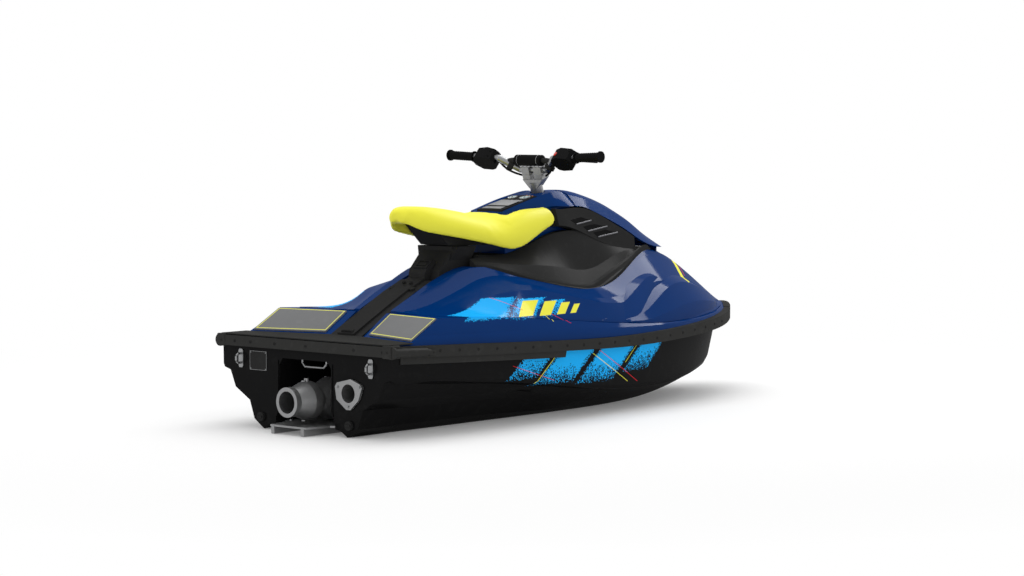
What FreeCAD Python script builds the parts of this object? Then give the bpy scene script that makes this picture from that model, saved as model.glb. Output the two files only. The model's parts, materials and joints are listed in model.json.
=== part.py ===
import FreeCAD, Part
import math
import os
import Sketcher

os.makedirs("parts", exist_ok=True)
doc = FreeCAD.newDocument("watercraft")
Vec = FreeCAD.Vector
sheet = doc.addObject("Spreadsheet::Sheet", "Sizes")
rows_used = []


class Dim:
    """A number kept together with the sheet expression that gives it."""

    def __init__(self, value, text):
        self.value = float(value)
        self.text = text

    def __add__(self, other):
        other = dim(other)
        return Dim(self.value + other.value, "(%s + %s)" % (self.text, other.text))

    def __sub__(self, other):
        other = dim(other)
        return Dim(self.value - other.value, "(%s - %s)" % (self.text, other.text))

    def __mul__(self, other):
        other = dim(other)
        return Dim(self.value * other.value, "(%s * %s)" % (self.text, other.text))

    def __truediv__(self, other):
        other = dim(other)
        return Dim(self.value / other.value, "(%s / %s)" % (self.text, other.text))

    def __neg__(self):
        return Dim(-self.value, "(-%s)" % self.text)


def dim(value):
    """Turn a plain number into a Dim; a Dim stays as it is."""
    if isinstance(value, Dim):
        return value
    return Dim(value, "(%s)" % value)


def cosine(angle):
    """Cosine of an angle in degrees."""
    return Dim(math.cos(math.radians(angle.value)), "cos(%s * 1deg)" % angle.text)


def sine(angle):
    """Sine of an angle in degrees."""
    return Dim(math.sin(math.radians(angle.value)), "sin(%s * 1deg)" % angle.text)


def size(name, value):
    """Write one size into the sheet under its own name."""
    row = len(rows_used) + 1
    rows_used.append(name)
    sheet.set("A%d" % row, name)
    sheet.set("B%d" % row, str(value))
    sheet.setAlias("B%d" % row, name)
    return Dim(value, "Sizes.%s" % name)


def offsets(prefix, columns, rows):
    """Register a table of offsets: each row is a station and its (half breadth, height) pairs."""
    stations = []
    for number, row in enumerate(rows, 1):
        tag = "%s_st%d" % (prefix, number)
        station = size(tag + "_x", row[0])
        points = []
        for column, pair in zip(columns, row[1:]):
            breadth = size("%s_%s_y" % (tag, column), pair[0]) if pair[0] else dim(0)
            points.append((breadth, size("%s_%s_z" % (tag, column), pair[1])))
        stations.append((station, points))
    return stations


# frame and fits
bow_reach = size("bow_reach", 2490)
stern_reach = size("stern_reach", 75)
fit_gap = size("fit_gap", 0.3)
swing_gap = size("swing_gap", 6)
mid_shift = (stern_reach - bow_reach) / 2


def new_body(label, x=0, y=0, z=0, lean=None):
    """Start a body; x, y, z give its origin from the foot of the transom, lean tips its top aft."""
    body = doc.addObject("PartDesign::Body", label)
    body.Label = label
    at = Vec((mid_shift + x).value, dim(y).value, dim(z).value)
    turn = FreeCAD.Rotation(Vec(0, -1, 0), dim(lean).value) if lean else FreeCAD.Rotation()
    body.Placement = FreeCAD.Placement(at, turn)
    body.setExpression("Placement.Base.x", (mid_shift + x).text)
    body.setExpression("Placement.Base.y", dim(y).text)
    body.setExpression("Placement.Base.z", dim(z).text)
    if lean:
        body.setExpression("Placement.Rotation.Angle", lean.text)
    return body


def origin_plane(body, role):
    """Find one of the body's own origin planes by its role."""
    for feature in body.Origin.OriginFeatures:
        if feature.Role == role:
            return feature


def bind(obj, prop, value):
    """Drive a property from the sheet."""
    obj.setExpression(prop, dim(value).text)


def pole(x, y):
    """A control point that bends the edge between two corners."""
    return (x, y, "pole")


def pin(sketch, geo, pos, x, y):
    """Fix a sketch point by its two sheet-driven distances from the sketch origin."""
    for kind, axis, value in (("DistanceX", -2, dim(x)), ("DistanceY", -1, dim(y))):
        if value.text == "(0)":
            sketch.addConstraint(Sketcher.Constraint("PointOnObject", geo, pos, axis))
            continue
        index = sketch.addConstraint(Sketcher.Constraint(kind, -1, 1, geo, pos, value.value))
        sketch.setExpression("Constraints[%d]" % index, value.text)


def new_sketch(body, name, role, offset):
    """Attach an empty sketch to one of the body's origin planes."""
    sketch = body.newObject("Sketcher::SketchObject", name)
    sketch.AttachmentSupport = (origin_plane(body, role), [""])
    sketch.MapMode = "FlatFace"
    offset = dim(offset)
    sketch.AttachmentOffset = FreeCAD.Placement(Vec(0, 0, offset.value), FreeCAD.Rotation())
    if offset.text != "(0)":
        sketch.setExpression("AttachmentOffset.Base.z", offset.text)
    return sketch


def draw_loop(sketch, nodes):
    """Draw one closed loop; corners are joined by lines, or by splines over the poles between them."""
    nodes = [(dim(n[0]), dim(n[1]), len(n) > 2) for n in nodes]
    first = [i for i, node in enumerate(nodes) if not node[2]][0]
    nodes = nodes[first:] + nodes[:first]
    edges = []
    run = [nodes[0]]
    for node in nodes[1:] + nodes[:1]:
        run.append(node)
        if not node[2]:
            edges.append(run)
            run = [node]
    drawn = []
    for run in edges:
        points = [Vec(x.value, y.value, 0) for x, y, is_pole in run]
        if len(run) == 2:
            geo = sketch.addGeometry(Part.LineSegment(points[0], points[1]), False)
        else:
            degree = min(3, len(run) - 1)
            spans = len(run) - degree
            curve = Part.BSplineCurve()
            mults = [degree + 1] + [1] * (spans - 1) + [degree + 1]
            curve.buildFromPolesMultsKnots(points, mults, list(range(spans + 1)), False, degree)
            geo = sketch.addGeometry(curve, False)
            helper = sketch.GeometryCount
            sketch.exposeInternalGeometry(geo)
            for k in range(1, len(run) - 1):
                pin(sketch, helper + k, 3, run[k][0], run[k][1])
        pin(sketch, geo, 1, run[0][0], run[0][1])
        drawn.append(geo)
    for a, b in zip(drawn, drawn[1:] + drawn[:1]):
        sketch.addConstraint(Sketcher.Constraint("Coincident", a, 2, b, 1))


def draw_circle(sketch, x, y, radius):
    """Draw one circle fixed by its centre and radius."""
    radius = dim(radius)
    circle = Part.Circle(Vec(dim(x).value, dim(y).value, 0), Vec(0, 0, 1), radius.value)
    geo = sketch.addGeometry(circle, False)
    pin(sketch, geo, 3, x, y)
    index = sketch.addConstraint(Sketcher.Constraint("Radius", geo, radius.value))
    sketch.setExpression("Constraints[%d]" % index, radius.text)


def draw_path(sketch, nodes):
    """Draw an open run of straight lines through the nodes."""
    lines = []
    for (x1, y1), (x2, y2) in zip(nodes, nodes[1:]):
        start_at = Vec(dim(x1).value, dim(y1).value, 0)
        geo = sketch.addGeometry(Part.LineSegment(start_at, Vec(dim(x2).value, dim(y2).value, 0)), False)
        pin(sketch, geo, 1, x1, y1)
        lines.append(geo)
    pin(sketch, lines[-1], 2, nodes[-1][0], nodes[-1][1])
    for a, b in zip(lines, lines[1:]):
        sketch.addConstraint(Sketcher.Constraint("Coincident", a, 2, b, 1))


def loop_sketch(body, name, role, offset, *loops):
    """Sketch with one or more closed loops."""
    sketch = new_sketch(body, name, role, offset)
    for nodes in loops:
        draw_loop(sketch, nodes)
    return sketch


def disc_sketch(body, name, role, offset, *circles):
    """Sketch with one or more circles given as (x, y, radius)."""
    sketch = new_sketch(body, name, role, offset)
    for x, y, radius in circles:
        draw_circle(sketch, x, y, radius)
    return sketch


def mirrored(half):
    """Close a half outline (y, z nodes from the keel up) by its mirror image."""
    other = [((-dim(n[0])),) + tuple(n[1:]) for n in reversed(half) if dim(n[0]).value != 0]
    return list(half) + other


def extrude(body, kind, name, sketch, length, symmetric=False, reverse=False):
    """Pad or pocket of a sketch."""
    feature = body.newObject("PartDesign::" + kind, name)
    feature.Profile = (sketch, [""])
    feature.Length = dim(length).value
    bind(feature, "Length", length)
    if symmetric:
        feature.SideType = "Symmetric"
    feature.Reversed = reverse
    sketch.Visibility = False
    return feature


def pad(body, name, sketch, length, symmetric=False, reverse=False):
    return extrude(body, "Pad", name, sketch, length, symmetric, reverse)


def pocket(body, name, sketch, length, symmetric=False, reverse=False):
    return extrude(body, "Pocket", name, sketch, length, symmetric, reverse)


def rectangle(x1, y1, x2, y2):
    """Corners of an upright rectangle."""
    return [(x1, y1), (x2, y1), (x2, y2), (x1, y2)]


def loft(body, name, stations, bends=(), cut=False, ruled=False):
    """Loft through mirrored cross-sections; columns listed in bends are poles."""
    sections = []
    for number, (station, points) in enumerate(stations, 1):
        half = [pole(y, z) if k in bends else (y, z) for k, (y, z) in enumerate(points)]
        nodes = mirrored(half)
        sections.append(loop_sketch(body, "%s_section_%d" % (name, number), "YZ_Plane", station, nodes))
    kind = "SubtractiveLoft" if cut else "AdditiveLoft"
    feature = body.newObject("PartDesign::" + kind, name)
    feature.Profile = (sections[0], [""])
    feature.Sections = [(section, [""]) for section in sections[1:]]
    feature.Ruled = ruled
    return feature


def revolve(body, name, sketch, axis_name, cut=False):
    """Full turn of a sketch about one of the body's origin axes or its own sketch axis."""
    kind = "Groove" if cut else "Revolution"
    feature = body.newObject("PartDesign::" + kind, name)
    feature.Profile = (sketch, [""])
    feature.ReferenceAxis = (sketch, [axis_name])
    feature.Angle = 360
    return feature


def boolean(kind, label, base, tool):
    """Boolean of two shapes as a part of its own."""
    result = doc.addObject("Part::" + kind, label)
    result.Label = label
    result.Base = base
    result.Tool = tool
    return result


def round_edges(body, name, radius, test):
    """Fillet the edges of the body's present shape that pass the test."""
    doc.recompute()
    tip = body.Tip
    names = ["Edge%d" % (i + 1) for i, edge in enumerate(tip.Shape.Edges) if test(edge)]
    fillet = body.newObject("PartDesign::Fillet", name)
    fillet.Base = (tip, names)
    fillet.Radius = dim(radius).value
    bind(fillet, "Radius", radius)
    return fillet


# rub rail plan and sheer, as control points (x forward, half breadth) and (x, z)
rail_plan = [(size("rail_plan_%d_x" % k, x), size("rail_plan_%d_y" % k, y)) for k, (x, y) in enumerate(
    [(0, 440), (450, 460), (1000, 472), (1500, 430), (1950, 370), (2268, 221)], 1)]
nose_width = size("rail_nose_half_width", 38)
rail_inner = [(size("rail_inner_%d_x" % k, x), size("rail_inner_%d_y" % k, y)) for k, (x, y) in enumerate(
    [(45, 395), (450, 416), (1000, 424), (1500, 389), (1900, 308), (2161, 191), (2350, 39)], 1)]
sheer_top = [(size("sheer_top_%d_x" % k, x), size("sheer_top_%d_z" % k, z)) for k, (x, z) in enumerate(
    [(-150, 338), (400, 323), (1000, 295), (1500, 290), (2100, 323), (2560, 354)], 1)]
sheer_low = [(size("sheer_low_%d_x" % k, x), size("sheer_low_%d_z" % k, z)) for k, (x, z) in enumerate(
    [(-150, 302), (400, 279), (1000, 261), (1500, 246), (2100, 277), (2560, 310)], 1)]


def curve_run(points, lift=0):
    """Corners at both ends and poles between them."""
    run = [(x, z + lift) for x, z in points]
    return [run[0]] + [pole(x, z) for x, z in run[1:-1]] + [run[-1]]


def rail_loop(inset):
    """Closed rail outline in plan, drawn in by inset."""
    side = [(x, y - inset) for x, y in rail_plan] + [(bow_reach - inset, nose_width)]
    aft_x, aft_y = side[0]
    right = [(aft_x + inset, aft_y)] + [pole(x, y) for x, y in side[1:]]
    left = [pole(x, -y) for x, y in reversed(side[1:])] + [(aft_x + inset, -aft_y)]
    return right + [(bow_reach - inset, 0)] + left


def inner_loop(inset):
    """Closed inner edge of the rail in plan."""
    side = [(x, y - inset) for x, y in rail_inner]
    right = [(side[0][0] + inset, side[0][1])] + [pole(x, y) for x, y in side[1:]]
    left = [pole(x, -y) for x, y in reversed(side[1:])] + [(side[0][0] + inset, -side[0][1])]
    return right + [(rail_inner[-1][0] - inset, 0)] + left


top_margin = size("trim_margin", 500)


def above(points, lift):
    """Side-view region above a curve."""
    run = curve_run(points, lift)
    high = points[0][1] + top_margin
    return run + [(points[-1][0], high), (points[0][0], high)]


def below(points, lift):
    """Side-view region below a curve."""
    run = curve_run(points, lift)
    low = points[0][1] - top_margin
    return run + [(points[-1][0], low), (points[0][0], low)]


full_width = size("trim_width", 1200)

# rub rail
rail_body = new_body("rail_band")
band_floor = size("rail_band_floor", 200)
band_height = size("rail_band_height", 220)
ring = loop_sketch(rail_body, "rail_ring", "XY_Plane", band_floor, rail_loop(dim(0)), inner_loop(dim(0)))
pad(rail_body, "rail_ring_pad", ring, band_height)
over = loop_sketch(rail_body, "rail_over", "XZ_Plane", 0, above(sheer_top, dim(0)))
pocket(rail_body, "rail_over_trim", over, full_width, symmetric=True)
under = loop_sketch(rail_body, "rail_under", "XZ_Plane", 0, below(sheer_low, dim(0)))
pocket(rail_body, "rail_under_trim", under, full_width, symmetric=True)

# skirt along the rail's underside beside the footwells
skirt_inset = size("skirt_inset", 8)
skirt_width = size("skirt_width", 26)
skirt_drop = size("skirt_drop", 24)
skirt_aft = size("skirt_aft_x", 60)
skirt_front = size("skirt_front_x", 930)
skirt_rake = size("skirt_front_rake", 30)


def skirt(label, gap):
    """Band under the rail; gap enlarges it on every side."""
    body = new_body(label)
    band = loop_sketch(body, label + "_ring", "XY_Plane", band_floor, rail_loop(skirt_inset - gap),
                       rail_loop(skirt_inset + skirt_width + gap))
    pad(body, label + "_ring_pad", band, band_height)
    top = loop_sketch(body, label + "_top", "XZ_Plane", 0, above(sheer_low, dim(4)))
    pocket(body, label + "_top_trim", top, full_width, symmetric=True)
    foot = loop_sketch(body, label + "_foot", "XZ_Plane", 0, below(sheer_low, -(skirt_drop + gap)))
    pocket(body, label + "_foot_trim", foot, full_width, symmetric=True)
    fore = loop_sketch(body, label + "_fore", "XZ_Plane", 0, [
        (skirt_front - skirt_rake + gap, 150), (2700, 150), (2700, 500), (skirt_front + skirt_rake * 2 + gap,
        500)])
    pocket(body, label + "_fore_trim", fore, full_width, symmetric=True)
    aft = loop_sketch(body, label + "_aft", "XZ_Plane", 0, rectangle(dim(-300), 150, skirt_aft - gap, 500))
    pocket(body, label + "_aft_trim", aft, full_width, symmetric=True)
    return body


skirt_body = skirt("skirt_band", dim(0))
skirt_room = skirt("skirt_room", fit_gap)

# room the rail takes out of the hull and the deck
room_body = new_body("rail_room")
room_ring = loop_sketch(room_body, "room_ring", "XY_Plane", band_floor, rail_loop(dim(-60)),
    inner_loop(fit_gap))
pad(room_body, "room_ring_pad", room_ring, band_height)
room_over = loop_sketch(room_body, "room_over", "XZ_Plane", 0, above(sheer_top, fit_gap))
pocket(room_body, "room_over_trim", room_over, full_width, symmetric=True)
room_under = loop_sketch(room_body, "room_under", "XZ_Plane", 0, below(sheer_low, -fit_gap))
pocket(room_body, "room_under_trim", room_under, full_width, symmetric=True)

# hull: keel, runner, bilge, strake and topside from the table of offsets
hull_columns = ["keel", "runner_in", "runner_out", "roll", "bilge", "ledge_in", "ledge_out", "inset",
    "lip_in",
                "lip_out", "side", "flange"]
hull_rows = [
    (16, (0, 49), (179, 21), (214, 0), (231, 10), (266, 34), (290, 100), (366, 144), (385, 188),
     (393, 205), (424, 214), (430, 226), (432, 345)),
    (200, (0, 40), (177, 16), (214, 0), (234, 10), (270, 32), (306, 99), (364, 137), (388, 172),
     (396, 190), (427, 199), (433, 210), (435, 345)),
    (400, (0, 30), (175, 12), (213, 0), (236, 10), (273, 33), (321, 99), (361, 130), (390, 160),
     (399, 176), (430, 185), (436, 196), (438, 345)),
    (600, (0, 20), (172, 8), (212, 0), (237, 9), (274, 33), (326, 97), (362, 124), (390, 147), (401, 161),
     (430, 168), (438, 179), (440, 345)),
    (740, (0, 15), (170, 7), (211, 0), (237, 8), (273, 30), (322, 91), (357, 120), (387, 134), (401, 146),
     (429, 154), (438, 165), (441, 345)),
    (860, (0, 10), (169, 5), (211, 0), (237, 8), (272, 26), (314, 77), (347, 106), (383, 120), (399, 132),
     (425, 139), (436, 151), (440, 345)),
    (960, (0, 7), (167, 4), (210, 0), (236, 7), (270, 23), (305, 57), (337, 83), (378, 107), (396, 120),
     (421, 127), (433, 139), (438, 345)),
    (1080, (0, 4), (165, 3), (209, 0), (235, 7), (266, 19), (294, 34), (324, 55), (370, 93), (391, 106),
     (414, 113), (427, 125), (435, 345)),
    (1220, (0, 2), (163, 2), (208, 1), (234, 7), (260, 16), (282, 28), (309, 43), (359, 79), (381, 92),
     (403, 99), (418, 112), (428, 345)),
    (1380, (0, 1), (159, 2), (206, 3), (231, 9), (251, 16), (270, 26), (292, 38), (341, 67), (366, 80),
     (386, 87), (401, 101), (416, 345)),
    (1550, (0, 4), (150, 4), (199, 8), (222, 14), (238, 21), (255, 29), (272, 38), (314, 62), (340, 74),
     (358, 81), (375, 97), (397, 345)),
    (1750, (0, 13), (130, 15), (180, 23), (200, 29), (215, 35), (226, 41), (239, 48), (270, 65), (295, 76),
     (311, 82), (329, 100), (363, 345)),
    (1950, (0, 30), (97, 36), (142, 49), (158, 54), (169, 58), (177, 62), (188, 68), (209, 78), (230, 88),
     (241, 93), (262, 114), (313, 345)),
    (2100, (0, 44), (64, 52), (98, 63), (111, 70), (119, 74), (125, 77), (134, 82), (149, 91), (166, 100),
     (176, 106), (195, 129), (253, 345)),
    (2220, (0, 63), (36, 70), (55, 78), (65, 84), (70, 89), (75, 93), (79, 98), (91, 108), (104, 119),
     (113, 124), (128, 151), (177, 345)),
    (2310, (0, 113), (15, 118), (22, 124), (28, 127), (30, 131), (34, 136), (34, 142), (42, 151),
     (48, 162), (54, 169), (62, 196), (92, 345)),
    (2365, (0, 190), (2, 192), (4, 196), (5, 200), (6, 204), (7, 208), (8, 213), (9, 219), (10, 226),
     (11, 231), (14, 246), (22, 345)),
]
hull_body = new_body("hull_body")
loft(hull_body, "hull_loft", offsets("hull", hull_columns, hull_rows))
hull_over = loop_sketch(hull_body, "hull_over", "XZ_Plane", 0, above(sheer_top, -fit_gap))
pocket(hull_body, "hull_over_trim", hull_over, full_width, symmetric=True)

# pump tunnel and intake
tunnel_front = size("tunnel_front", 430)
tunnel_half = size("tunnel_half_width", 133)
tunnel_foot = size("tunnel_foot_half_width", 152)
tunnel_top = size("tunnel_top", 263)
tunnel_step = size("tunnel_step_height", 80)
tunnel_length = size("tunnel_length", 480)
tunnel_half_nodes = [(tunnel_foot, dim(-30)), (tunnel_foot, size("tunnel_foot_top", 50)), (tunnel_half,
    tunnel_step),
                     (tunnel_half, tunnel_top - 25), (tunnel_half - 18, tunnel_top)]
tunnel = loop_sketch(hull_body, "tunnel_section", "YZ_Plane", tunnel_front, mirrored(tunnel_half_nodes))
pocket(hull_body, "tunnel_cut", tunnel, tunnel_length)
duct_half = size("intake_half_width", 76)
intake = loop_sketch(hull_body, "intake_side", "XZ_Plane", 0, [
    (tunnel_front - 20, size("duct_floor", 38)), (size("duct_lip_x", 520), 34), (size("intake_aft", 570),
    dim(-30)),
    (size("intake_front", 890), dim(-30)), (size("intake_roof_front", 890), 20), (size("duct_bend_x", 640),
    150),
    (size("duct_roof_x", 520), size("duct_roof", 193)), (tunnel_front - 20, 193)])
pocket(hull_body, "intake_cut", intake, duct_half * 2, symmetric=True)

# shaft bore between the duct and the engine bay
pump_z = size("pump_z", 117)
shaft_radius = size("shaft_radius", 12)
shaft_bore = disc_sketch(hull_body, "shaft_bore", "YZ_Plane", size("shaft_bore_front", 910),
                         (0, pump_z, shaft_radius + swing_gap))
pocket(hull_body, "shaft_bore_cut", shaft_bore, size("shaft_bore_length", 380))

# engine bay, open upward through the deck
bay_aft = size("bay_aft", 840)
bay_front = size("bay_front", 1480)
bay_half = size("bay_half_width", 168)
bay_floor = size("bay_floor", 62)
bay = loop_sketch(hull_body, "bay_plan", "XY_Plane", bay_floor, [
    (bay_aft, -bay_half), (bay_front, -bay_half), (bay_front, bay_half), (bay_aft, bay_half)])
pocket(hull_body, "bay_cut", bay, 500, reverse=True)


# deck: gunwale, then the fairing that rises to the cockpit and the bow
gunwale_rows = [
    (30, (415, 240), (415, 334), (405, 366), (403, 425)),
    (210, (422, 240), (422, 327), (412, 360), (407, 422)),
    (400, (428, 240), (428, 320), (419, 356), (412, 414)),
    (600, (433, 240), (433, 312), (423, 351), (415, 403)),
    (800, (435, 240), (435, 305), (425, 346), (416, 388)),
    (1000, (433, 240), (433, 300), (423, 339), (413, 370)),
    (1200, (426, 240), (426, 297), (415, 331), (406, 351)),
    (1400, (412, 240), (412, 296), (402, 323), (393, 335)),
    (1600, (390, 240), (390, 299), (381, 319), (373, 325)),
    (1800, (358, 240), (358, 306), (349, 321), (342, 324)),
    (1980, (310, 240), (310, 315), (302, 326), (296, 329)),
    (2140, (244, 240), (244, 324), (237, 333), (232, 336)),
    (2270, (169, 240), (169, 333), (162, 340), (158, 343)),
    (2370, (96, 240), (96, 339), (89, 346), (86, 349)),
    (2445, (30, 240), (30, 344), (26, 350), (24, 353)),
]
deck_body = new_body("deck_body")
loft(deck_body, "gunwale_loft", offsets("gunwale", ["foot", "sill", "band", "crest"], gunwale_rows))
fairing_rows = [
    (375, (395, 300), (399, 417), (230, 416), (180, 418), (112, 420), (103, 424), (0, 424)),
    (440, (397, 300), (401, 414), (240, 414), (188, 422), (148, 430), (107, 453), (0, 454)),
    (520, (398, 300), (402, 410), (272, 430), (213, 442), (176, 455), (113, 491), (0, 490)),
    (610, (399, 300), (403, 404), (307, 460), (245, 474), (190, 489), (122, 530), (0, 528)),
    (700, (400, 300), (404, 398), (328, 483), (270, 498), (191, 520), (136, 560), (0, 559)),
    (790, (400, 300), (404, 391), (340, 489), (291, 507), (195, 537), (157, 570), (0, 572)),
    (890, (399, 300), (403, 382), (352, 486), (311, 504), (212, 534), (189, 555), (0, 556)),
    (1000, (397, 300), (401, 372), (363, 468), (329, 485), (238, 514), (225, 522), (0, 521)),
    (1120, (393, 300), (397, 360), (370, 444), (340, 458), (262, 488), (251, 489), (0, 488)),
    (1240, (388, 300), (392, 350), (372, 424), (343, 440), (272, 471), (259, 474), (0, 473)),
    (1360, (380, 300), (384, 340), (353, 416), (329, 437), (264, 476), (250, 484), (0, 484)),
    (1480, (370, 300), (374, 332), (329, 417), (308, 450), (240, 506), (226, 519), (0, 520)),
    (1600, (357, 300), (361, 327), (311, 424), (288, 469), (206, 544), (193, 561), (0, 562)),
    (1720, (340, 300), (344, 326), (291, 429), (265, 481), (170, 571), (156, 592), (0, 593)),
    (1840, (318, 300), (322, 326), (264, 425), (237, 473), (138, 574), (121, 595), (0, 602)),
    (1960, (286, 304), (290, 330), (231, 412), (206, 451), (113, 552), (93, 571), (0, 599)),
    (2080, (243, 308), (247, 335), (191, 395), (171, 422), (94, 507), (77, 523), (0, 557)),
    (2200, (185, 314), (189, 341), (143, 377), (131, 394), (77, 450), (66, 461), (0, 483)),
    (2300, (126, 320), (130, 347), (96, 363), (91, 373), (57, 404), (52, 410), (0, 418)),
    (2380, (66, 325), (70, 352), (54, 356), (52, 360), (34, 373), (32, 376), (0, 377)),
    (2440, (19, 330), (23, 355), (19, 353), (18, 354), (12, 357), (10, 358), (0, 359)),
]
fairing_columns = ["foot", "edge", "crease_low", "crease_high", "shoulder", "ridge", "top"]
loft(deck_body, "fairing_loft", offsets("fairing", fairing_columns, fairing_rows))

# two steps that sweep up and forward over the bow's flank, the second one full
step_columns = ["foot", "flank", "brow", "root", "top"]
low_step_rows = [
    (1150, (384, 330), (390, 349), (387, 357), (383, 361), (0, 340)),
    (1250, (384, 331), (386, 351), (388, 363), (355, 386), (0, 347)),
    (1350, (381, 330), (380, 351), (361, 395), (326, 419), (0, 351)),
    (1440, (375, 328), (373, 350), (334, 431), (299, 453), (0, 351)),
    (1530, (365, 326), (362, 349), (307, 467), (271, 484), (0, 350)),
    (1610, (353, 325), (348, 349), (281, 494), (248, 505), (0, 349)),
    (1690, (338, 325), (331, 349), (258, 502), (226, 515), (0, 349)),
    (1770, (318, 325), (308, 352), (244, 474), (206, 506), (0, 350)),
]
loft(deck_body, "low_step", offsets("low_step", step_columns, low_step_rows))
bow_rows = [
    (1370, (378, 330), (382, 342), (380, 350), (374, 356), (0, 336)),
    (1490, (376, 327), (377, 342), (362, 365), (329, 408), (0, 338)),
    (1610, (365, 326), (361, 354), (335, 411), (290, 452), (0, 350)),
    (1730, (346, 325), (337, 372), (300, 454), (251, 482), (0, 368)),
    (1850, (319, 326), (306, 385), (262, 469), (211, 494), (0, 385)),
    (1970, (284, 329), (270, 389), (225, 458), (173, 484), (0, 397)),
    (2090, (238, 333), (226, 381), (185, 432), (136, 456), (0, 396)),
    (2200, (184, 337), (174, 369), (141, 406), (101, 424), (0, 382)),
    (2290, (126, 342), (117, 359), (94, 385), (68, 397), (0, 370)),
    (2350, (70, 346), (66, 354), (56, 366), (42, 374), (0, 362)),
]
loft(deck_body, "bow_step", offsets("bow_step", step_columns, bow_rows))
deck_under = loop_sketch(deck_body, "deck_under", "XZ_Plane", 0, below(sheer_top, fit_gap))
pocket(deck_body, "deck_under_trim", deck_under, full_width, symmetric=True)

# footwell ramps: each profile is taken at a distance off the centreline
ramp_foot_mid = size("ramp_foot_mid_x", 255)
ramp_foot_side = size("ramp_foot_side_x", 114)
ramp_top_mid = size("ramp_top_mid_x", 375)
ramp_top_side = size("ramp_top_side_x", 265)
ramp_side_y = size("ramp_side_y", 480)
ramp_foot_z = size("ramp_foot_z", 337)
ramp_top_z = size("ramp_top_z", 418)
swim_deck_z = size("swim_deck_z", 336)


def ramp_profile(name, offset, foot_x, top_x):
    """Side view of what is cut away over the swim deck and the ramp."""
    return loop_sketch(deck_body, name, "XZ_Plane", offset, [
        (-50, swim_deck_z), (foot_x, swim_deck_z), (foot_x, ramp_foot_z), (top_x, ramp_top_z), (top_x, 640),
        (-50, 640)])


ramp_sections = [
    ramp_profile("ramp_cut_port", -ramp_side_y, ramp_foot_side, ramp_top_side),
    ramp_profile("ramp_cut_mid", 0, ramp_foot_mid, ramp_top_mid),
    ramp_profile("ramp_cut_starboard", ramp_side_y, ramp_foot_side, ramp_top_side)]
ramp_cut = deck_body.newObject("PartDesign::SubtractiveLoft", "ramp_cut")
ramp_cut.Profile = (ramp_sections[0], [""])
ramp_cut.Sections = [(section, [""]) for section in ramp_sections[1:]]
ramp_cut.Ruled = True

# spine channel that carries the ribbed liner and the seat pedestal
channel_half = size("channel_half_width", 79)
channel_floor = [(size("channel_%d_x" % k, x), size("channel_%d_z" % k, z)) for k, (x, z) in enumerate(
    [(200, 316), (290, 366), (400, 424), (500, 474), (610, 520), (815, 520)], 1)]
channel_lid = size("channel_lid", 700)
channel = loop_sketch(deck_body, "channel_side", "XZ_Plane", 0,
                      channel_floor + [(channel_floor[-1][0], channel_lid), (channel_floor[0][0],
                          channel_lid)])
pocket(deck_body, "channel_cut", channel, channel_half * 2, symmetric=True)

# hinge lug for the hood
hinge_x = size("hood_hinge_x", 1998)
hinge_z = size("hood_hinge_z", 603)
hinge_radius = size("hood_hinge_radius", 4)
hinge_width = size("hood_hinge_width", 56)
lug = loop_sketch(deck_body, "hood_lug", "XZ_Plane", 0, rectangle(hinge_x - 3, 580, hinge_x + 1, hinge_z))
pad(deck_body, "hood_lug_pad", lug, hinge_width, symmetric=True)
barrel = disc_sketch(deck_body, "hood_barrel", "XZ_Plane", 0, (hinge_x, hinge_z, hinge_radius))
pad(deck_body, "hood_barrel_pad", barrel, hinge_width, symmetric=True)

# cockpit well inside the coaming line
coaming = [(size("coaming_%d_x" % k, x), size("coaming_%d_y" % k, y)) for k, (x, y) in enumerate(
    [(770, 142), (880, 210), (1050, 264), (1300, 276), (1500, 252), (1700, 167), (1850, 115)], 1)]


def coaming_loop(inset):
    """Closed coaming outline in plan, drawn in by inset."""
    side = [(x, y - inset) for x, y in coaming]
    right = [(side[0][0] + inset, side[0][1])] + [pole(x, y) for x, y in side[1:-1]]
    right = right + [(side[-1][0] - inset, side[-1][1])]
    return right + [node[:1] + (-node[1],) + node[2:] for node in reversed(right)]


well_floor = size("well_floor", 440)
well = loop_sketch(deck_body, "well_plan", "XY_Plane", well_floor, coaming_loop(dim(0)))
pocket(deck_body, "well_cut", well, 400, reverse=True)
deck_bay = loop_sketch(deck_body, "deck_bay_plan", "XY_Plane", 200, [
    (bay_aft, -bay_half), (bay_front, -bay_half), (bay_front, bay_half), (bay_aft, bay_half)])
pocket(deck_body, "deck_bay_cut", deck_bay, 400, reverse=True)

# cockpit liner: shelf, knee panels and the base of seat and console
liner_rows = [
    (740, (150, 400), (150, 548), (144, 562), (132, 568), (120, 574), (104, 590), (96, 600), (0, 600)),
    (900, (230, 400), (226, 530), (216, 545), (194, 552), (184, 556), (168, 578), (98, 608), (0, 608)),
    (1040, (270, 400), (262, 492), (250, 508), (226, 516), (214, 522), (190, 568), (102, 620), (0, 620)),
    (1190, (290, 400), (280, 468), (266, 482), (242, 488), (230, 494), (196, 555), (114, 668), (0, 668)),
    (1330, (296, 400), (278, 462), (264, 474), (240, 480), (228, 486), (194, 538), (146, 690), (0, 690)),
    (1430, (280, 400), (262, 492), (250, 505), (228, 511), (216, 517), (188, 552), (152, 668), (0, 668)),
    (1550, (250, 400), (234, 530), (224, 542), (204, 548), (192, 554), (174, 588), (152, 630), (0, 630)),
    (1680, (200, 400), (190, 576), (182, 584), (168, 588), (160, 592), (152, 600), (144, 610), (0, 610)),
    (1850, (140, 400), (132, 594), (128, 598), (122, 600), (118, 602), (114, 604), (110, 607), (0, 607)),
]
liner_body = new_body("liner_body")
liner_columns = ["foot", "sill", "lip", "lip_in", "groove", "shelf", "wall", "top"]
loft(liner_body, "liner_loft", offsets("liner", liner_columns, liner_rows))
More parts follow.
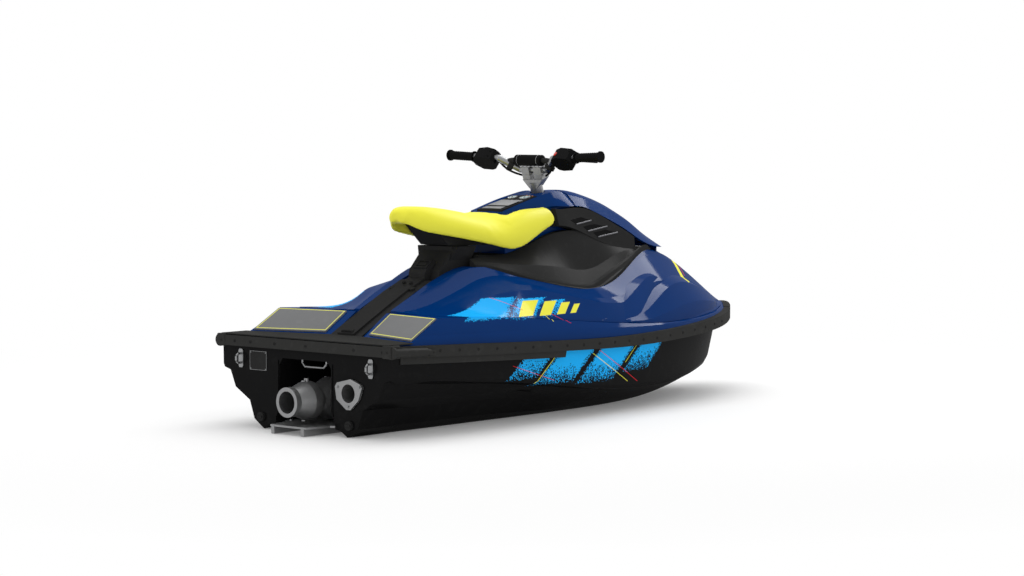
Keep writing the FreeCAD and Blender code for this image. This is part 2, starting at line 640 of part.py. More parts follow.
liner_slot = loop_sketch(liner_body, "pedestal_slot", "XY_Plane", 300, [
    (600, -110), (size("pedestal_slot_front", 822), -110), (822, 110), (600, 110)])
pocket(liner_body, "pedestal_slot_cut", liner_slot, 400, reverse=True)
hatch_aft = size("hatch_aft", 850)
hatch_front = size("hatch_front", 978)
hatch_half = size("hatch_half_width", 82)
hatch = loop_sketch(liner_body, "hatch_plan", "XY_Plane", 300, [
    (hatch_aft, -hatch_half), (hatch_front, -hatch_half), (hatch_front, hatch_half), (hatch_aft, hatch_half)])
pocket(liner_body, "hatch_cut", hatch, 600, reverse=True)
bin_aft = size("bin_aft", 1470)
bin_front = size("bin_front", 1790)
bin_half = size("bin_half_width", 92)
bin_floor = size("bin_floor", 470)
locker = loop_sketch(liner_body, "locker_plan", "XY_Plane", bin_floor, [
    (bin_aft, -bin_half), (bin_front, -bin_half), (bin_front, bin_half), (bin_aft, bin_half)])
pocket(liner_body, "locker_cut", locker, 400, reverse=True)
prism_body = new_body("coaming_prism")
prism = loop_sketch(prism_body, "prism_plan", "XY_Plane", well_floor + fit_gap, coaming_loop(fit_gap))
pad(prism_body, "prism_pad", prism, 400)
liner = boolean("Common", "cockpit_liner", liner_body, prism_body)

# ribbed channel liner
rib_body = new_body("channel_liner")
lay = size("liner_lay", 0.3)
plate = size("channel_liner_thickness", 9)
rib_nodes = [(x, z + lay) for x, z in channel_floor[1:4]]
start = (size("channel_liner_aft_x", 222), size("channel_liner_aft_z", 329.5))
end = (size("channel_liner_front_x", 596), size("channel_liner_front_z", 514.9))
lower = [start] + rib_nodes + [end]
upper = [(x, z + plate) for x, z in reversed(lower)]
rib_side = loop_sketch(rib_body, "channel_liner_side", "XZ_Plane", 0, lower + upper)
pad(rib_body, "channel_liner_pad", rib_side, (channel_half - lay) * 2, symmetric=True)
crown = size("channel_rib_height", 9)
rib_side_2 = loop_sketch(rib_body, "channel_rib_side", "XZ_Plane", 0,
                         [(x, z + plate / 2) for x, z in lower] + [(x, z + crown) for x, z in upper])
pad(rib_body, "channel_rib_pad", rib_side_2, size("channel_rib_width", 84), symmetric=True)

# deck mats
mat_thick = size("mat_thickness", 5)
mat_lay = size("mat_lay", 0.3)
mat_edge = size("ramp_mat_edge_y", 404)
mat_inner = size("ramp_mat_inner_y", 112)


def ramp_mat(label, side):
    """Grip mat on one ramp, cut from the ramp's own profile raised by the mat."""
    body = new_body(label)
    slope_foot = (ramp_foot_mid - ramp_foot_side) / ramp_side_y
    slope_top = (ramp_top_mid - ramp_top_side) / ramp_side_y
    sections = []
    inset = size(label + "_inset", 9)
    for k, at in enumerate((mat_inner, mat_edge)):
        foot_x = ramp_foot_mid - slope_foot * at
        top_x = ramp_top_mid - slope_top * at
        run = top_x - foot_x
        rise = ramp_top_z - ramp_foot_z
        low = (foot_x + inset, ramp_foot_z + rise * (inset / run) + mat_lay)
        high = (top_x - inset, ramp_top_z - rise * (inset / run) + mat_lay)
        sections.append(loop_sketch(body, "%s_%d" % (label, k), "XZ_Plane", -(at * side), [
            low, high, (high[0] - 2, high[1] + mat_thick), (low[0] - 2, low[1] + mat_thick)]))
    feature = body.newObject("PartDesign::AdditiveLoft", label + "_loft")
    feature.Profile = (sections[0], [""])
    feature.Sections = [(sections[1], [""])]
    feature.Ruled = True
    return body


mat_port = ramp_mat("ramp_mat_port", 1)
mat_starboard = ramp_mat("ramp_mat_starboard", -1)
platform_mat = new_body("platform_mat")
platform_plan = loop_sketch(platform_mat, "platform_plan", "XY_Plane", swim_deck_z + fit_gap, [
    (6, -428), (ramp_foot_side + 14, -428), (ramp_foot_mid - 38, -channel_half),
    (ramp_foot_mid - 38, channel_half), (ramp_foot_side + 14, 428), (6, 428)])
pad(platform_mat, "platform_pad", platform_plan, size("platform_mat_thickness", 4))

# seat: cushion with hanging flaps on a flat pan
belly_aft_x = size("belly_aft_x", 445)
belly_aft_z = size("belly_aft_z", 752)
belly_slope = size("belly_slope", 0.06)


def belly(x):
    """Height of the flat underside of the cushion at a station."""
    return belly_aft_z - (dim(x) - belly_aft_x) * belly_slope


seat_rows = [
    (478, 5, (8, 742), (14, 738), (24, 750), (19, 778), 777),
    (490, 18, (25, 736), (33, 732), (46, 748), (36, 790), 788),
    (505, 32, (39, 729), (48, 725), (62, 745), (49, 797), 793),
    (530, 50, (57, 715), (68, 710), (84, 741), (64, 802), 796),
    (560, 65, (73, 704), (87, 699), (104, 737), (78, 804), 796),
    (600, 77, (85, 696), (105, 691), (122, 732), (88, 802), 795),
    (680, 84, (92, 683), (124, 678), (143, 725), (97, 794), 787),
    (800, 92, (98, 663), (140, 656), (159, 711), (104, 770), 774),
    (890, 98, (104, 646), (148, 638), (169, 699), (113, 758), 764),
    (950, 101, (108, 634), (152, 626), (175, 695), (124, 771), 767),
    (1030, 104, (110, 643), (154, 634), (178, 707), (136, 803), 758),
    (1110, 106, (112, 676), (153, 668), (175, 731), (140, 813), 752),
    (1170, 107, (113, 701), (151, 695), (169, 746), (139, 811), 752),
    (1232, 108, (113, 726), (147, 722), (160, 760), (137, 804), 752),
]
seat_columns = ["inner", "flap_in", "flap_out", "bulge", "shoulder", "top"]
cushion_stations = []
for number, (x, inner, flap_in, flap_out, bulge, shoulder, top) in enumerate(seat_rows, 1):
    tag = "seat_st%d_" % number
    station = size(tag + "x", x)
    points = [(dim(0), belly(station)), (size(tag + "inner_y", inner), belly(station))]
    for column, (y, z) in zip(seat_columns[1:5], (flap_in, flap_out, bulge, shoulder)):
        points.append((size(tag + column + "_y", y), size(tag + column + "_z", z)))
    points.append((dim(0), size(tag + "top_z", top)))
    cushion_stations.append((station, points))
cushion = new_body("seat_cushion")
loft(cushion, "cushion_loft", cushion_stations, bends=(4, 5, 6))
wing_top_x = size("wing_top_x", 1190)
wing_tip_x = size("wing_tip_x", 1226)
wing_tip_z = size("wing_tip_z", 733)
wing_foot_x = size("wing_foot_x", 1214)
wing_trim = loop_sketch(cushion, "wing_trim", "XZ_Plane", 0, [
    (wing_top_x - 6, 840), (wing_top_x, 790), (wing_tip_x, wing_tip_z), (wing_foot_x, 718),
    (wing_foot_x - 8, 600), (1300, 600), (1300, 840)])
pocket(cushion, "wing_trim_cut", wing_trim, full_width, symmetric=True)
console_half = size("console_half_width", 94)
console_aft = size("console_aft_x", 988)
slot_half = console_half + swing_gap
slot_flare = size("slot_flare", 7)
seat_slot = loop_sketch(cushion, "console_slot", "XY_Plane", 500, [
    (console_aft - swing_gap - 2, -slot_half), (1185, -slot_half), (1240, -(slot_half + slot_flare)),
    (1400, -(slot_half + slot_flare)), (1400, slot_half + slot_flare), (1240, slot_half + slot_flare),
    (1185, slot_half), (console_aft - swing_gap - 2, slot_half)])
pocket(cushion, "console_slot_cut", seat_slot, 500, reverse=True)

pan = new_body("seat_pan")
pan_half = size("pan_half_width", 72)
pan_aft = size("pan_aft_x", 605)
pan_waist_x = size("pan_waist_x", 695)
pan_waist_z = size("pan_waist_z", 652)
pan_front = size("pan_front_x", 970)
pan_sole = size("pan_sole_z", 648)
pan_side = loop_sketch(pan, "pan_side", "XZ_Plane", 0, [
    (pan_aft, belly(pan_aft) - 8), (pan_waist_x, pan_waist_z), (pan_waist_x + 50, pan_sole), (pan_front,
    pan_sole),
    (pan_front, belly(pan_front) - lay), (pan_aft, belly(pan_aft) - lay)])
pad(pan, "pan_pad", pan_side, pan_half * 2, symmetric=True)
pan_hollow = loop_sketch(pan, "pan_hollow", "XY_Plane", pan_sole, rectangle(
    size("pan_hollow_aft", 850), -(pan_half - 10), pan_front - 10, pan_half - 10))
pocket(pan, "pan_hollow_cut", pan_hollow, size("pan_hollow_depth", 50), reverse=True)

# pedestal under the back of the seat, standing in the spine channel
pedestal = new_body("seat_pedestal")
post_foot = channel_floor[-1][1] + lay
post_top = pan_sole - size("seat_rest_gap", 0.5)
post_side = loop_sketch(pedestal, "pedestal_side", "XZ_Plane", 0, [
    (630, post_foot), (810, post_foot), (810, post_top), (706, post_top), (706, post_top - 16), (640, 560)])
pad(pedestal, "pedestal_pad", post_side, (channel_half - lay) * 2, symmetric=True)
flare_low = loop_sketch(pedestal, "pedestal_flare_low", "XY_Plane", size("pedestal_flare_z", 592),
                        rectangle(690, -77, 812, 77))
flare_high = loop_sketch(pedestal, "pedestal_flare_high", "XY_Plane", post_top, rectangle(712, -104, 814,
    104))
flare = pedestal.newObject("PartDesign::AdditiveLoft", "pedestal_flare")
flare.Profile = (flare_low, [""])
flare.Sections = [(flare_high, [""])]
flare.Ruled = True
latch = new_body("seat_latch")
latch_side = loop_sketch(latch, "latch_side", "XZ_Plane", 0, [
    (600, 521), (629.6, 521), (639.6, 559), (640, 562.5), (662, 587.8), (654, 596), (612, 566), (600, 548)])
pad(latch, "latch_pad", latch_side, size("latch_width", 74), symmetric=True)

# console: blue shroud round the gauges, seated on the liner
console_rows = [
    (988, (92, 560), (92, 700), (92, 736), (82, 772), (68, 766), (0, 768)),
    (1060, (94, 560), (94, 720), (94, 752), (82, 792), (68, 784), (0, 787)),
    (1150, (94, 560), (94, 740), (94, 770), (82, 815), (68, 806), (0, 809)),
    (1215, (94, 560), (94, 770), (94, 783), (80, 829), (66, 820), (0, 823)),
    (1240, (95, 560), (95, 776), (98, 785), (80, 834), (65, 827), (0, 830)),
    (1290, (97, 560), (97, 782), (114, 785), (78, 842), (60, 838), (0, 842)),
    (1366, (98, 560), (98, 782), (122, 785), (80, 826), (58, 838), (0, 846)),
]
console_body = new_body("console_body")
console_stations = offsets("console", ["foot", "hip", "side", "crest", "dish", "top"], console_rows)
loft(console_body, "console_loft", console_stations)
steer_x = size("steer_x", 1281)
steer_z = size("steer_z", 846)
steer_lean = size("steer_lean", 19)
stem_radius = size("stem_radius", 25)
stem_well = new_body("stem_well", steer_x, 0, steer_z, steer_lean)
stem_well_foot = size("stem_well_foot", -52)
well_disc = disc_sketch(stem_well, "stem_well_disc", "XY_Plane", stem_well_foot, (0, 0,
    stem_radius + swing_gap))
pad(stem_well, "stem_well_pad", well_disc, 120)
console_open = boolean("Cut", "console_open", console_body, stem_well)
console = boolean("Cut", "console", console_open, liner)

gauge_body = new_body("gauge_body")
gauge_rows = [
    (1000, (62, 760), (62, 777), (0, 778)),
    (1060, (64, 775), (64, 790), (0, 793)),
    (1150, (64, 797), (64, 812), (0, 815)),
    (1212, (60, 810), (60, 825), (0, 828)),
]
loft(gauge_body, "gauge_loft", offsets("gauge", ["foot", "edge", "top"], gauge_rows))
gauge = boolean("Cut", "gauge_panel", gauge_body, console_body)

# hood: hollow shell hinged at its front edge
hood_rows = [
    (1372, (124, 783), (86, 824), (62, 842), (0, 848)),
    (1430, (127, 776), (88, 816), (62, 838), (0, 846)),
    (1500, (131, 751), (88, 798), (60, 822), (0, 834)),
    (1600, (135, 712), (88, 766), (56, 794), (0, 808)),
    (1700, (137, 667), (85, 730), (52, 755), (0, 768)),
    (1790, (134, 628), (78, 690), (46, 715), (0, 726)),
    (1880, (118, 609), (64, 648), (38, 668), (0, 679)),
    (1950, (92, 602), (48, 625), (28, 636), (0, 643)),
    (2004, (34, 600), (20, 607), (12, 611), (0, 613)),
]
hood_columns = ["low", "crease", "brow", "top"]
hood = new_body("hood")
loft(hood, "hood_loft", offsets("hood", hood_columns, hood_rows), bends=(2, 3))
hood_wall = size("hood_wall", 6)
inner_stations = []
for station, points in offsets("hood_inside", hood_columns, [
        (1371, (116, 775), (80, 815), (58, 834), (0, 841)),
        (1430, (119, 768), (81, 808), (57, 830), (0, 839)),
        (1500, (123, 743), (81, 790), (55, 814), (0, 827)),
        (1600, (127, 704), (81, 758), (51, 786), (0, 801)),
        (1700, (129, 659), (78, 722), (47, 747), (0, 761)),
        (1790, (126, 620), (71, 682), (41, 707), (0, 719)),
        (1880, (110, 600), (57, 640), (33, 660), (0, 672)),
        (1930, (92, 592), (48, 622), (28, 637), (0, 645))]):
    inner_stations.append((station, points))
loft(hood, "hood_hollow", inner_stations, bends=(2, 3), cut=True)

hinge_bore = disc_sketch(hood, "hood_hinge_bore", "XZ_Plane", 0, (hinge_x, hinge_z, hinge_radius + lay))
pocket(hood, "hood_hinge_bore_cut", hinge_bore, hinge_width + 4, symmetric=True)
lug_room = loop_sketch(hood, "hood_lug_room", "XZ_Plane", 0, rectangle(hinge_x - 4, 590, hinge_x + 9,
    hinge_z))
pocket(hood, "hood_lug_room_cut", lug_room, hinge_width + 4, symmetric=True)

# vent panels between the hood's lower edge and the liner's wall
vent_rows = [
    (1242, (102, 705), (148, 712), (128, 778), (106, 776)),
    (1330, (106, 694), (155, 696), (130, 777), (108, 776)),
    (1430, (110, 658), (157, 660), (130, 771), (106, 771)),
    (1550, (112, 622), (156, 624), (136, 727), (112, 727)),
    (1640, (112, 606), (151, 608), (139, 688), (116, 688)),
    (1716, (112, 598), (143, 600), (139, 652), (118, 652)),
]
vent_columns = ["in_low", "out_low", "out_top", "in_top"]
vent_stations = offsets("vent", vent_columns, vent_rows)


def vent_panel(label, side):
    """One vent panel with three slanting slots."""
    body = new_body(label)
    sections = []
    for k, (station, points) in enumerate(vent_stations):
        nodes = [(y * side, z) for y, z in points]
        sections.append(loop_sketch(body, "%s_%d" % (label, k), "YZ_Plane", station, nodes))
    feature = body.newObject("PartDesign::AdditiveLoft", label + "_loft")
    feature.Profile = (sections[0], [""])
    feature.Sections = [(section, [""]) for section in sections[1:]]
    feature.Ruled = False
    slots = [[(x, z), (x + 62, z - 22), (x + 70, z - 34), (x + 8, z - 12)]
             for x, z in ((1404, 752), (1438, 728), (1472, 704))]
    cuts = loop_sketch(body, label + "_slots", "XZ_Plane", -(dim(160) * side), *slots)
    pocket(body, label + "_slot_cut", cuts, size(label + "_slot_depth", 36), reverse=(side < 0))
    return body


vent_port = boolean("Cut", "vent_panel_port", vent_panel("vent_port", 1), liner)
vent_starboard = boolean("Cut", "vent_panel_starboard", vent_panel("vent_starboard", -1), liner)

# steering: post, stem with two risers, bar, pad, grips, housings and lever
post = new_body("steering_post", steer_x, 0, steer_z, steer_lean)
post_radius = size("post_radius", 12)
post_disc = disc_sketch(post, "post_disc", "XY_Plane", stem_well_foot + lay, (0, 0, post_radius))
pad(post, "post_pad", post_disc, size("post_length", 92))
stem = new_body("steering_stem", steer_x, 0, steer_z, steer_lean)
stem_low = disc_sketch(stem, "stem_low", "XY_Plane", size("stem_foot", -30), (0, 0, stem_radius))
pad(stem, "stem_pad", stem_low, size("stem_height", 66))
bridge_z = size("bridge_z", 36)
riser_out = size("riser_out_y", 50)
riser_in = size("riser_in_y", 12)
riser_aft = size("riser_aft_x", -10)
riser_fore = size("riser_fore_x", 32)
bar_x = size("bar_x", 11)
bar_z = size("bar_z", 82)
flare_foot = loop_sketch(stem, "stem_flare_foot", "XY_Plane", bridge_z - 22, rectangle(-20, -18, 22, 18))
flare_head = loop_sketch(stem, "stem_flare_head", "XY_Plane", bridge_z + 12, rectangle(
    riser_aft - 4, -riser_out, riser_fore, riser_out))
stem_flare = stem.newObject("PartDesign::AdditiveLoft", "stem_flare")
stem_flare.Profile = (flare_foot, [""])
stem_flare.Sections = [(flare_head, [""])]
stem_flare.Ruled = True
risers = loop_sketch(stem, "riser_plan", "XY_Plane", bridge_z + 12,
                     rectangle(riser_aft, riser_in, riser_fore, riser_out),
                     rectangle(riser_aft, -riser_out, riser_fore, -riser_in))
pad(stem, "riser_pad", risers, bar_z + 16 - bridge_z - 12)
bar_radius = size("bar_radius", 14)
bar_bore = disc_sketch(stem, "riser_bore", "XZ_Plane", 0, (bar_x, bar_z, bar_radius + lay))
pocket(stem, "riser_bore_cut", bar_bore, 200, symmetric=True)
stem_bore = disc_sketch(stem, "stem_bore", "XY_Plane", size("stem_foot_under", -31), (0, 0,
    post_radius + lay))
pocket(stem, "stem_bore_cut", stem_bore, size("stem_bore_depth", 72), reverse=True)

bar_lean = size("bar_lean", 49.6)
clamp_x = steer_x + bar_x * cosine(steer_lean) - bar_z * sine(steer_lean)
clamp_z = steer_z + bar_x * sine(steer_lean) + bar_z * cosine(steer_lean)
bar = new_body("handlebar_tube", clamp_x, 0, clamp_z, bar_lean)
bar_half = size("bar_half_width", 385)
bar_rise = size("bar_rise", 82)
bar_knee_out = size("bar_knee_out_y", 140)
bar_knee_in = size("bar_knee_in_y", 70)
bar_knee_rise = size("bar_knee_rise", 66)
spine = new_sketch(bar, "bar_path", "YZ_Plane", 0)
path_nodes = [(-bar_half, bar_rise), (-bar_knee_out, bar_knee_rise), (-bar_knee_in, 0), (bar_knee_in, 0),
              (bar_knee_out, bar_knee_rise), (bar_half, bar_rise)]
draw_path(spine, path_nodes)
bar_end = disc_sketch(bar, "bar_end", "XZ_Plane", bar_half, (0, bar_rise, bar_radius))
pipe = bar.newObject("PartDesign::AdditivePipe", "bar_pipe")
pipe.Profile = (bar_end, [""])
pipe.Spine = (spine, [""])
pipe.Transition = "Round corner"
cross_rise = size("cross_rise", 45)
cross_x = size("cross_x", 9)
cross_rod = disc_sketch(bar, "cross_rod", "XZ_Plane", size("cross_rod_half", 118),
                        (cross_x, cross_rise, size("cross_rod_radius", 6)))
pad(bar, "cross_rod_pad", cross_rod, 236, reverse=True)

crosspad = new_body("crossbar_pad", clamp_x, 0, clamp_z, bar_lean)
pad_half = size("crosspad_half", 64)
pad_disc = disc_sketch(crosspad, "crosspad_disc", "XZ_Plane", 0, (cross_x, cross_rise,
    size("crosspad_radius", 22)))
pad(crosspad, "crosspad_pad", pad_disc, pad_half * 2, symmetric=True)
pad_bore = disc_sketch(crosspad, "crosspad_bore", "XZ_Plane", 0, (cross_x, cross_rise, 6.3))
pocket(crosspad, "crosspad_bore_cut", pad_bore, 300, symmetric=True)
grip_radius = size("grip_radius", 17)
grip_in = size("grip_in_y", 262)
grip_slope = (bar_rise - bar_knee_rise) / (bar_half - bar_knee_out)


def bar_height(y):
    """Height of the bar's outer run above the clamp at a distance off the centreline."""
    return bar_knee_rise + grip_slope * (dim(y) - bar_knee_out)


def grip(label, side):
    """Rubber grip with an end flange, bored for the bar."""
    body = new_body(label, clamp_x, 0, clamp_z, bar_lean)
    inner_disc = disc_sketch(body, label + "_inner", "XZ_Plane", -(grip_in * side),
                             (0, bar_height(grip_in), grip_radius))
    outer_disc = disc_sketch(body, label + "_outer", "XZ_Plane", -((bar_half + 4) * side),
                             (0, bar_height(bar_half + 4), grip_radius))
    feature = body.newObject("PartDesign::AdditiveLoft", label + "_loft")
    feature.Profile = (inner_disc, [""])
    feature.Sections = [(outer_disc, [""])]
    for tag, at, thick in (("end", bar_half, 7), ("neck", grip_in, 5)):
        rim = disc_sketch(body, "%s_%s" % (label, tag), "XZ_Plane", -(at * side), (0, bar_height(at),
            grip_radius + 5))
        pad(body, "%s_%s_pad" % (label, tag), rim, thick, reverse=(side > 0))
    near = disc_sketch(body, label + "_bore_in", "XZ_Plane", -((grip_in - 5) * side),
                       (0, bar_height(grip_in - 5), bar_radius + lay))
    far = disc_sketch(body, label + "_bore_out", "XZ_Plane", -((bar_half + 3) * side),
                      (0, bar_height(bar_half + 3), bar_radius + lay))
    bore = body.newObject("PartDesign::SubtractiveLoft", label + "_bore")
    bore.Profile = (near, [""])
    bore.Sections = [(far, [""])]
    return body


grip_port = grip("grip_port", 1)
grip_starboard = grip("grip_starboard", -1)
pod_in = size("pod_in_y", 150)
pod_out = size("pod_out_y", 256)
pod_low = size("pod_low", 26)
pod_high = size("pod_high", 104)
pod_depth = size("pod_depth", 52)


def pod(label, side):
    """Switch or throttle housing clamped round the bar."""
    body = new_body(label, clamp_x, 0, clamp_z, bar_lean)
    face = [(pod_in, pod_low + 34), (pod_in + 14, pod_low + 6), (pod_in + 34, pod_low), (pod_out - 26,
        pod_low + 4),
            (pod_out, pod_low + 30), (pod_out, pod_high - 28), (pod_out - 16, pod_high - 6), (pod_in + 40,
            pod_high),
            (pod_in + 10, pod_high - 12), (pod_in, pod_high - 30)]
    outline = loop_sketch(body, label + "_face", "YZ_Plane", 0, [(y * side, z) for y, z in face])
    pad(body, label + "_pad", outline, pod_depth, symmetric=True)
    near = disc_sketch(body, label + "_near", "XZ_Plane", -((pod_in - 6) * side),
                       (0, bar_height(pod_in - 6), bar_radius + lay))
    far = disc_sketch(body, label + "_far", "XZ_Plane", -((pod_out + 6) * side),
                      (0, bar_height(pod_out + 6), bar_radius + lay))
    bore = body.newObject("PartDesign::SubtractiveLoft", label + "_bore")
    bore.Profile = (near, [""])
    bore.Sections = [(far, [""])]
    return body


switch_pod = pod("switch_housing", 1)
throttle_pod = pod("throttle_housing", -1)
lever = new_body("throttle_lever", clamp_x, 0, clamp_z, bar_lean)
lever_face = loop_sketch(lever, "lever_face", "YZ_Plane", size("lever_reach", 10), [
    (-(pod_out - 7.5), 48), (-(pod_out - 17.5), 38), (-300, 34), (-336, 32), (-338, 40), (-300, 44)])
pad(lever, "lever_pad", lever_face, 10)

# jet pump: bolted housing, turning impeller, swivelling nozzle
pivot_x = size("nozzle_pivot_x", 24)
pump_front = tunnel_front - fit_gap
housing = new_body("pump_housing", 0, 0, pump_z)
boss = disc_sketch(housing, "pivot_boss", "XY_Plane", 0, (pivot_x, 0, 10))
pad(housing, "pivot_boss_pad", boss, size("pivot_boss_length", 120.2), symmetric=True)
boss_core = loop_sketch(housing, "pivot_boss_core", "XZ_Plane", 0, [(0, 0), (0, 38), (60, 38), (60, 0)])
revolve(housing, "pivot_boss_cut", boss_core, "H_Axis", cut=True)
bowl_profile = loop_sketch(housing, "bowl_profile", "XZ_Plane", 0, [
    (28, 38), (28, 43), (70, 50), (130, 78), (pump_front - 13, 78), (pump_front - 13, 82), (pump_front, 82),
    (pump_front, 73), (150, 73), (60, 41)])
revolve(housing, "bowl_turn", bowl_profile, "H_Axis")
hub = loop_sketch(housing, "stator_profile", "XZ_Plane", 0, [(70, 0), (70, 12), (120, 26), (205, 30), (205,
    0)])
revolve(housing, "stator_turn", hub, "H_Axis")
vane = loop_sketch(housing, "stator_vane", "XZ_Plane", 0, rectangle(130, -74, 190, 74))
pad(housing, "stator_vane_pad", vane, 5, symmetric=True)
vane_2 = loop_sketch(housing, "stator_vane_2", "XY_Plane", 0, rectangle(130, -74, 190, 74))
pad(housing, "stator_vane_2_pad", vane_2, 5, symmetric=True)
impeller = new_body("impeller", 0, 0, pump_z)
impeller_hub = loop_sketch(impeller, "impeller_profile", "XZ_Plane", 0, [
    (215, 0), (215, 30), (262, 24), (290, 18), (290, 0)])
revolve(impeller, "impeller_turn", impeller_hub, "H_Axis")
blade = loop_sketch(impeller, "blade_side", "XZ_Plane", 0, [(222, 20), (236, 20), (272, 67), (240, 67)])
pad(impeller, "blade_pad", blade, 9, symmetric=True)
blades = impeller.newObject("PartDesign::PolarPattern", "blade_pattern")
blades.Originals = [impeller.Tip]
blades.Axis = (blade, ["H_Axis"])
blades.Angle = 360
blades.Occurrences = 3
impeller.Tip = blades
shaft = new_body("drive_shaft", 0, 0, pump_z)
shaft_disc = disc_sketch(shaft, "shaft_disc", "YZ_Plane", 290.3, (0, 0, shaft_radius))
pad(shaft, "shaft_pad", shaft_disc, size("shaft_length", 669.2))
nozzle = new_body("jet_nozzle", 0, 0, pump_z)
nozzle_profile = loop_sketch(nozzle, "nozzle_profile", "XZ_Plane", 0, [
    (-75, 40), (-75, 54), (-52, 54), (-50, 48), (-20, 58), (8, 68), (40, 70), (40, 63), (8, 60), (-30, 46),
    (-60, 41)])
revolve(nozzle, "nozzle_turn", nozzle_profile, "H_Axis")
bolt = disc_sketch(nozzle, "nozzle_bolt", "XY_Plane", 66, (pivot_x, 0, 9))
pad(nozzle, "nozzle_bolt_pad", bolt, 14)
ride = new_body("ride_plate")
ride_half = tunnel_foot - fit_gap
ride_side = loop_sketch(ride, "ride_side", "XY_Plane", size("ride_plate_z", 26), [
    (-70, -90), (30, -112), (60, -ride_half), (pump_front, -ride_half), (pump_front, ride_half), (60,
    ride_half),
    (30, 112), (-70, 90)])
pad(ride, "ride_pad", ride_side, size("ride_plate_thickness", 7))
fins = loop_sketch(ride, "fin_plan", "XY_Plane", 0.5, rectangle(-72, 68, 250, 84), rectangle(-72, -84, 250,
    -68))
pad(ride, "fin_pad", fins, 27)
grate = new_body("intake_grate")
grate_aft = size("grate_aft_x", 548)
grate_front = size("grate_front_x", 876)
grate_side = loop_sketch(grate, "grate_side", "XZ_Plane", 0, [
    (grate_aft, 21), (grate_front, 11), (grate_front, 20), (grate_aft, 30)])
pad(grate, "grate_pad", grate_side, (duct_half - fit_gap) * 2, symmetric=True)
grate_gaps = loop_sketch(grate, "grate_gaps", "XY_Plane", 0, *[
    rectangle(grate_aft + 10, y - 9, grate_front - 10, y + 9) for y in (-54, -27, 0, 27, 54)])
pocket(grate, "grate_gap_cut", grate_gaps, 60, reverse=True)

# engine block in its bay
engine = doc.addObject("Part::Box", "engine_block")
engine.Label = "engine_block"
engine_x = size("engine_aft_x", 960)
engine_long = size("engine_length", 440)
engine_wide = size("engine_width", 260)
engine_tall = size("engine_height", 300)
bind(engine, "Length", engine_long)
bind(engine, "Width", engine_wide)
bind(engine, "Height", engine_tall)
engine.setExpression("Placement.Base.x", (mid_shift + engine_x).text)
engine.setExpression("Placement.Base.y", (-(engine_wide / 2)).text)
engine.setExpression("Placement.Base.z", (bay_floor + lay).text)

# transom fittings
exhaust = new_body("exhaust_outlet")
exhaust_y = size("exhaust_y", 228)
exhaust_z = size("exhaust_z", 158)
exhaust_bore = size("exhaust_bore_radius", 33)
flange = loop_sketch(exhaust, "exhaust_flange", "YZ_Plane", size("exhaust_face_x", 6), [
    (-(exhaust_y - 66), exhaust_z + 22), (-(exhaust_y - 58), exhaust_z - 24), (-(exhaust_y - 10),
    exhaust_z - 58),
    (-(exhaust_y + 10), exhaust_z - 58), (-(exhaust_y + 50), exhaust_z - 22), (-(exhaust_y + 68),
    exhaust_z + 24),
    (-(exhaust_y + 58), exhaust_z + 36), (-(exhaust_y + 12), exhaust_z + 52), (-(exhaust_y - 56),
    exhaust_z + 36)])
pad(exhaust, "exhaust_flange_pad", flange, size("exhaust_flange_thickness", 9.7))
spigot = disc_sketch(exhaust, "exhaust_spigot", "YZ_Plane", 15, (-exhaust_y, exhaust_z, exhaust_bore + 4))
pad(exhaust, "exhaust_spigot_pad", spigot, 80)
bore = disc_sketch(exhaust, "exhaust_bore", "YZ_Plane", 100, (-exhaust_y, exhaust_z, exhaust_bore))
pocket(exhaust, "exhaust_bore_cut", bore, 120)
hull_exhaust = disc_sketch(hull_body, "hull_exhaust", "YZ_Plane", 140, (-exhaust_y, exhaust_z,
    exhaust_bore + 4 + lay))
pocket(hull_body, "hull_exhaust_cut", hull_exhaust, 160)


eye_y = size("tow_eye_y", 333)
eye_z = size("tow_eye_z", 251)
eye_half = size("tow_eye_half_height", 17)
eye_reach = size("tow_eye_reach", 26)
eye_bend = size("tow_eye_bend", 9)
eye_rod = size("tow_eye_rod_radius", 4.5)
eye_width = size("tow_eye_plate_width", 24)
eye_height = size("tow_eye_plate_height", 76)
transom_face = size("transom_fit_x", 15.7)


def tow_eye(label, side):
    """Backing plate with a round ring standing off the transom."""
    body = new_body(label)
    y = eye_y * side
    run = new_sketch(body, label + "_path", "XZ_Plane", -y)
    draw_path(run, [(transom_face - 3, eye_z + eye_half), (transom_face - eye_reach + eye_bend,
        eye_z + eye_half),
                    (transom_face - eye_reach, eye_z + eye_half - eye_bend),
                    (transom_face - eye_reach, eye_z - eye_half + eye_bend),
                    (transom_face - eye_reach + eye_bend, eye_z - eye_half), (transom_face - 3,
                    eye_z - eye_half)])
    rod_end = disc_sketch(body, label + "_rod_end", "YZ_Plane", transom_face - 3, (y, eye_z + eye_half,
        eye_rod))
    rod = body.newObject("PartDesign::AdditivePipe", label + "_rod")
    rod.Profile = (rod_end, [""])
    rod.Spine = (run, [""])
    rod.Transition = "Round corner"
    flat = eye_height / 2 - eye_width / 2
    face = [(y - eye_width / 2, eye_z - flat), (y - eye_width / 3, eye_z - flat - eye_width / 3),
            (y + eye_width / 3, eye_z - flat - eye_width / 3), (y + eye_width / 2, eye_z - flat),
            (y + eye_width / 2, eye_z + flat), (y + eye_width / 3, eye_z + flat + eye_width / 3),
            (y - eye_width / 3, eye_z + flat + eye_width / 3), (y - eye_width / 2, eye_z + flat)]
    plate_face = loop_sketch(body, label + "_plate", "YZ_Plane", transom_face - 4, face)
    pad(body, label + "_plate_pad", plate_face, 4)
    return body


eye_port = tow_eye("tow_eye_port", 1)
eye_starboard = tow_eye("tow_eye_starboard", -1)


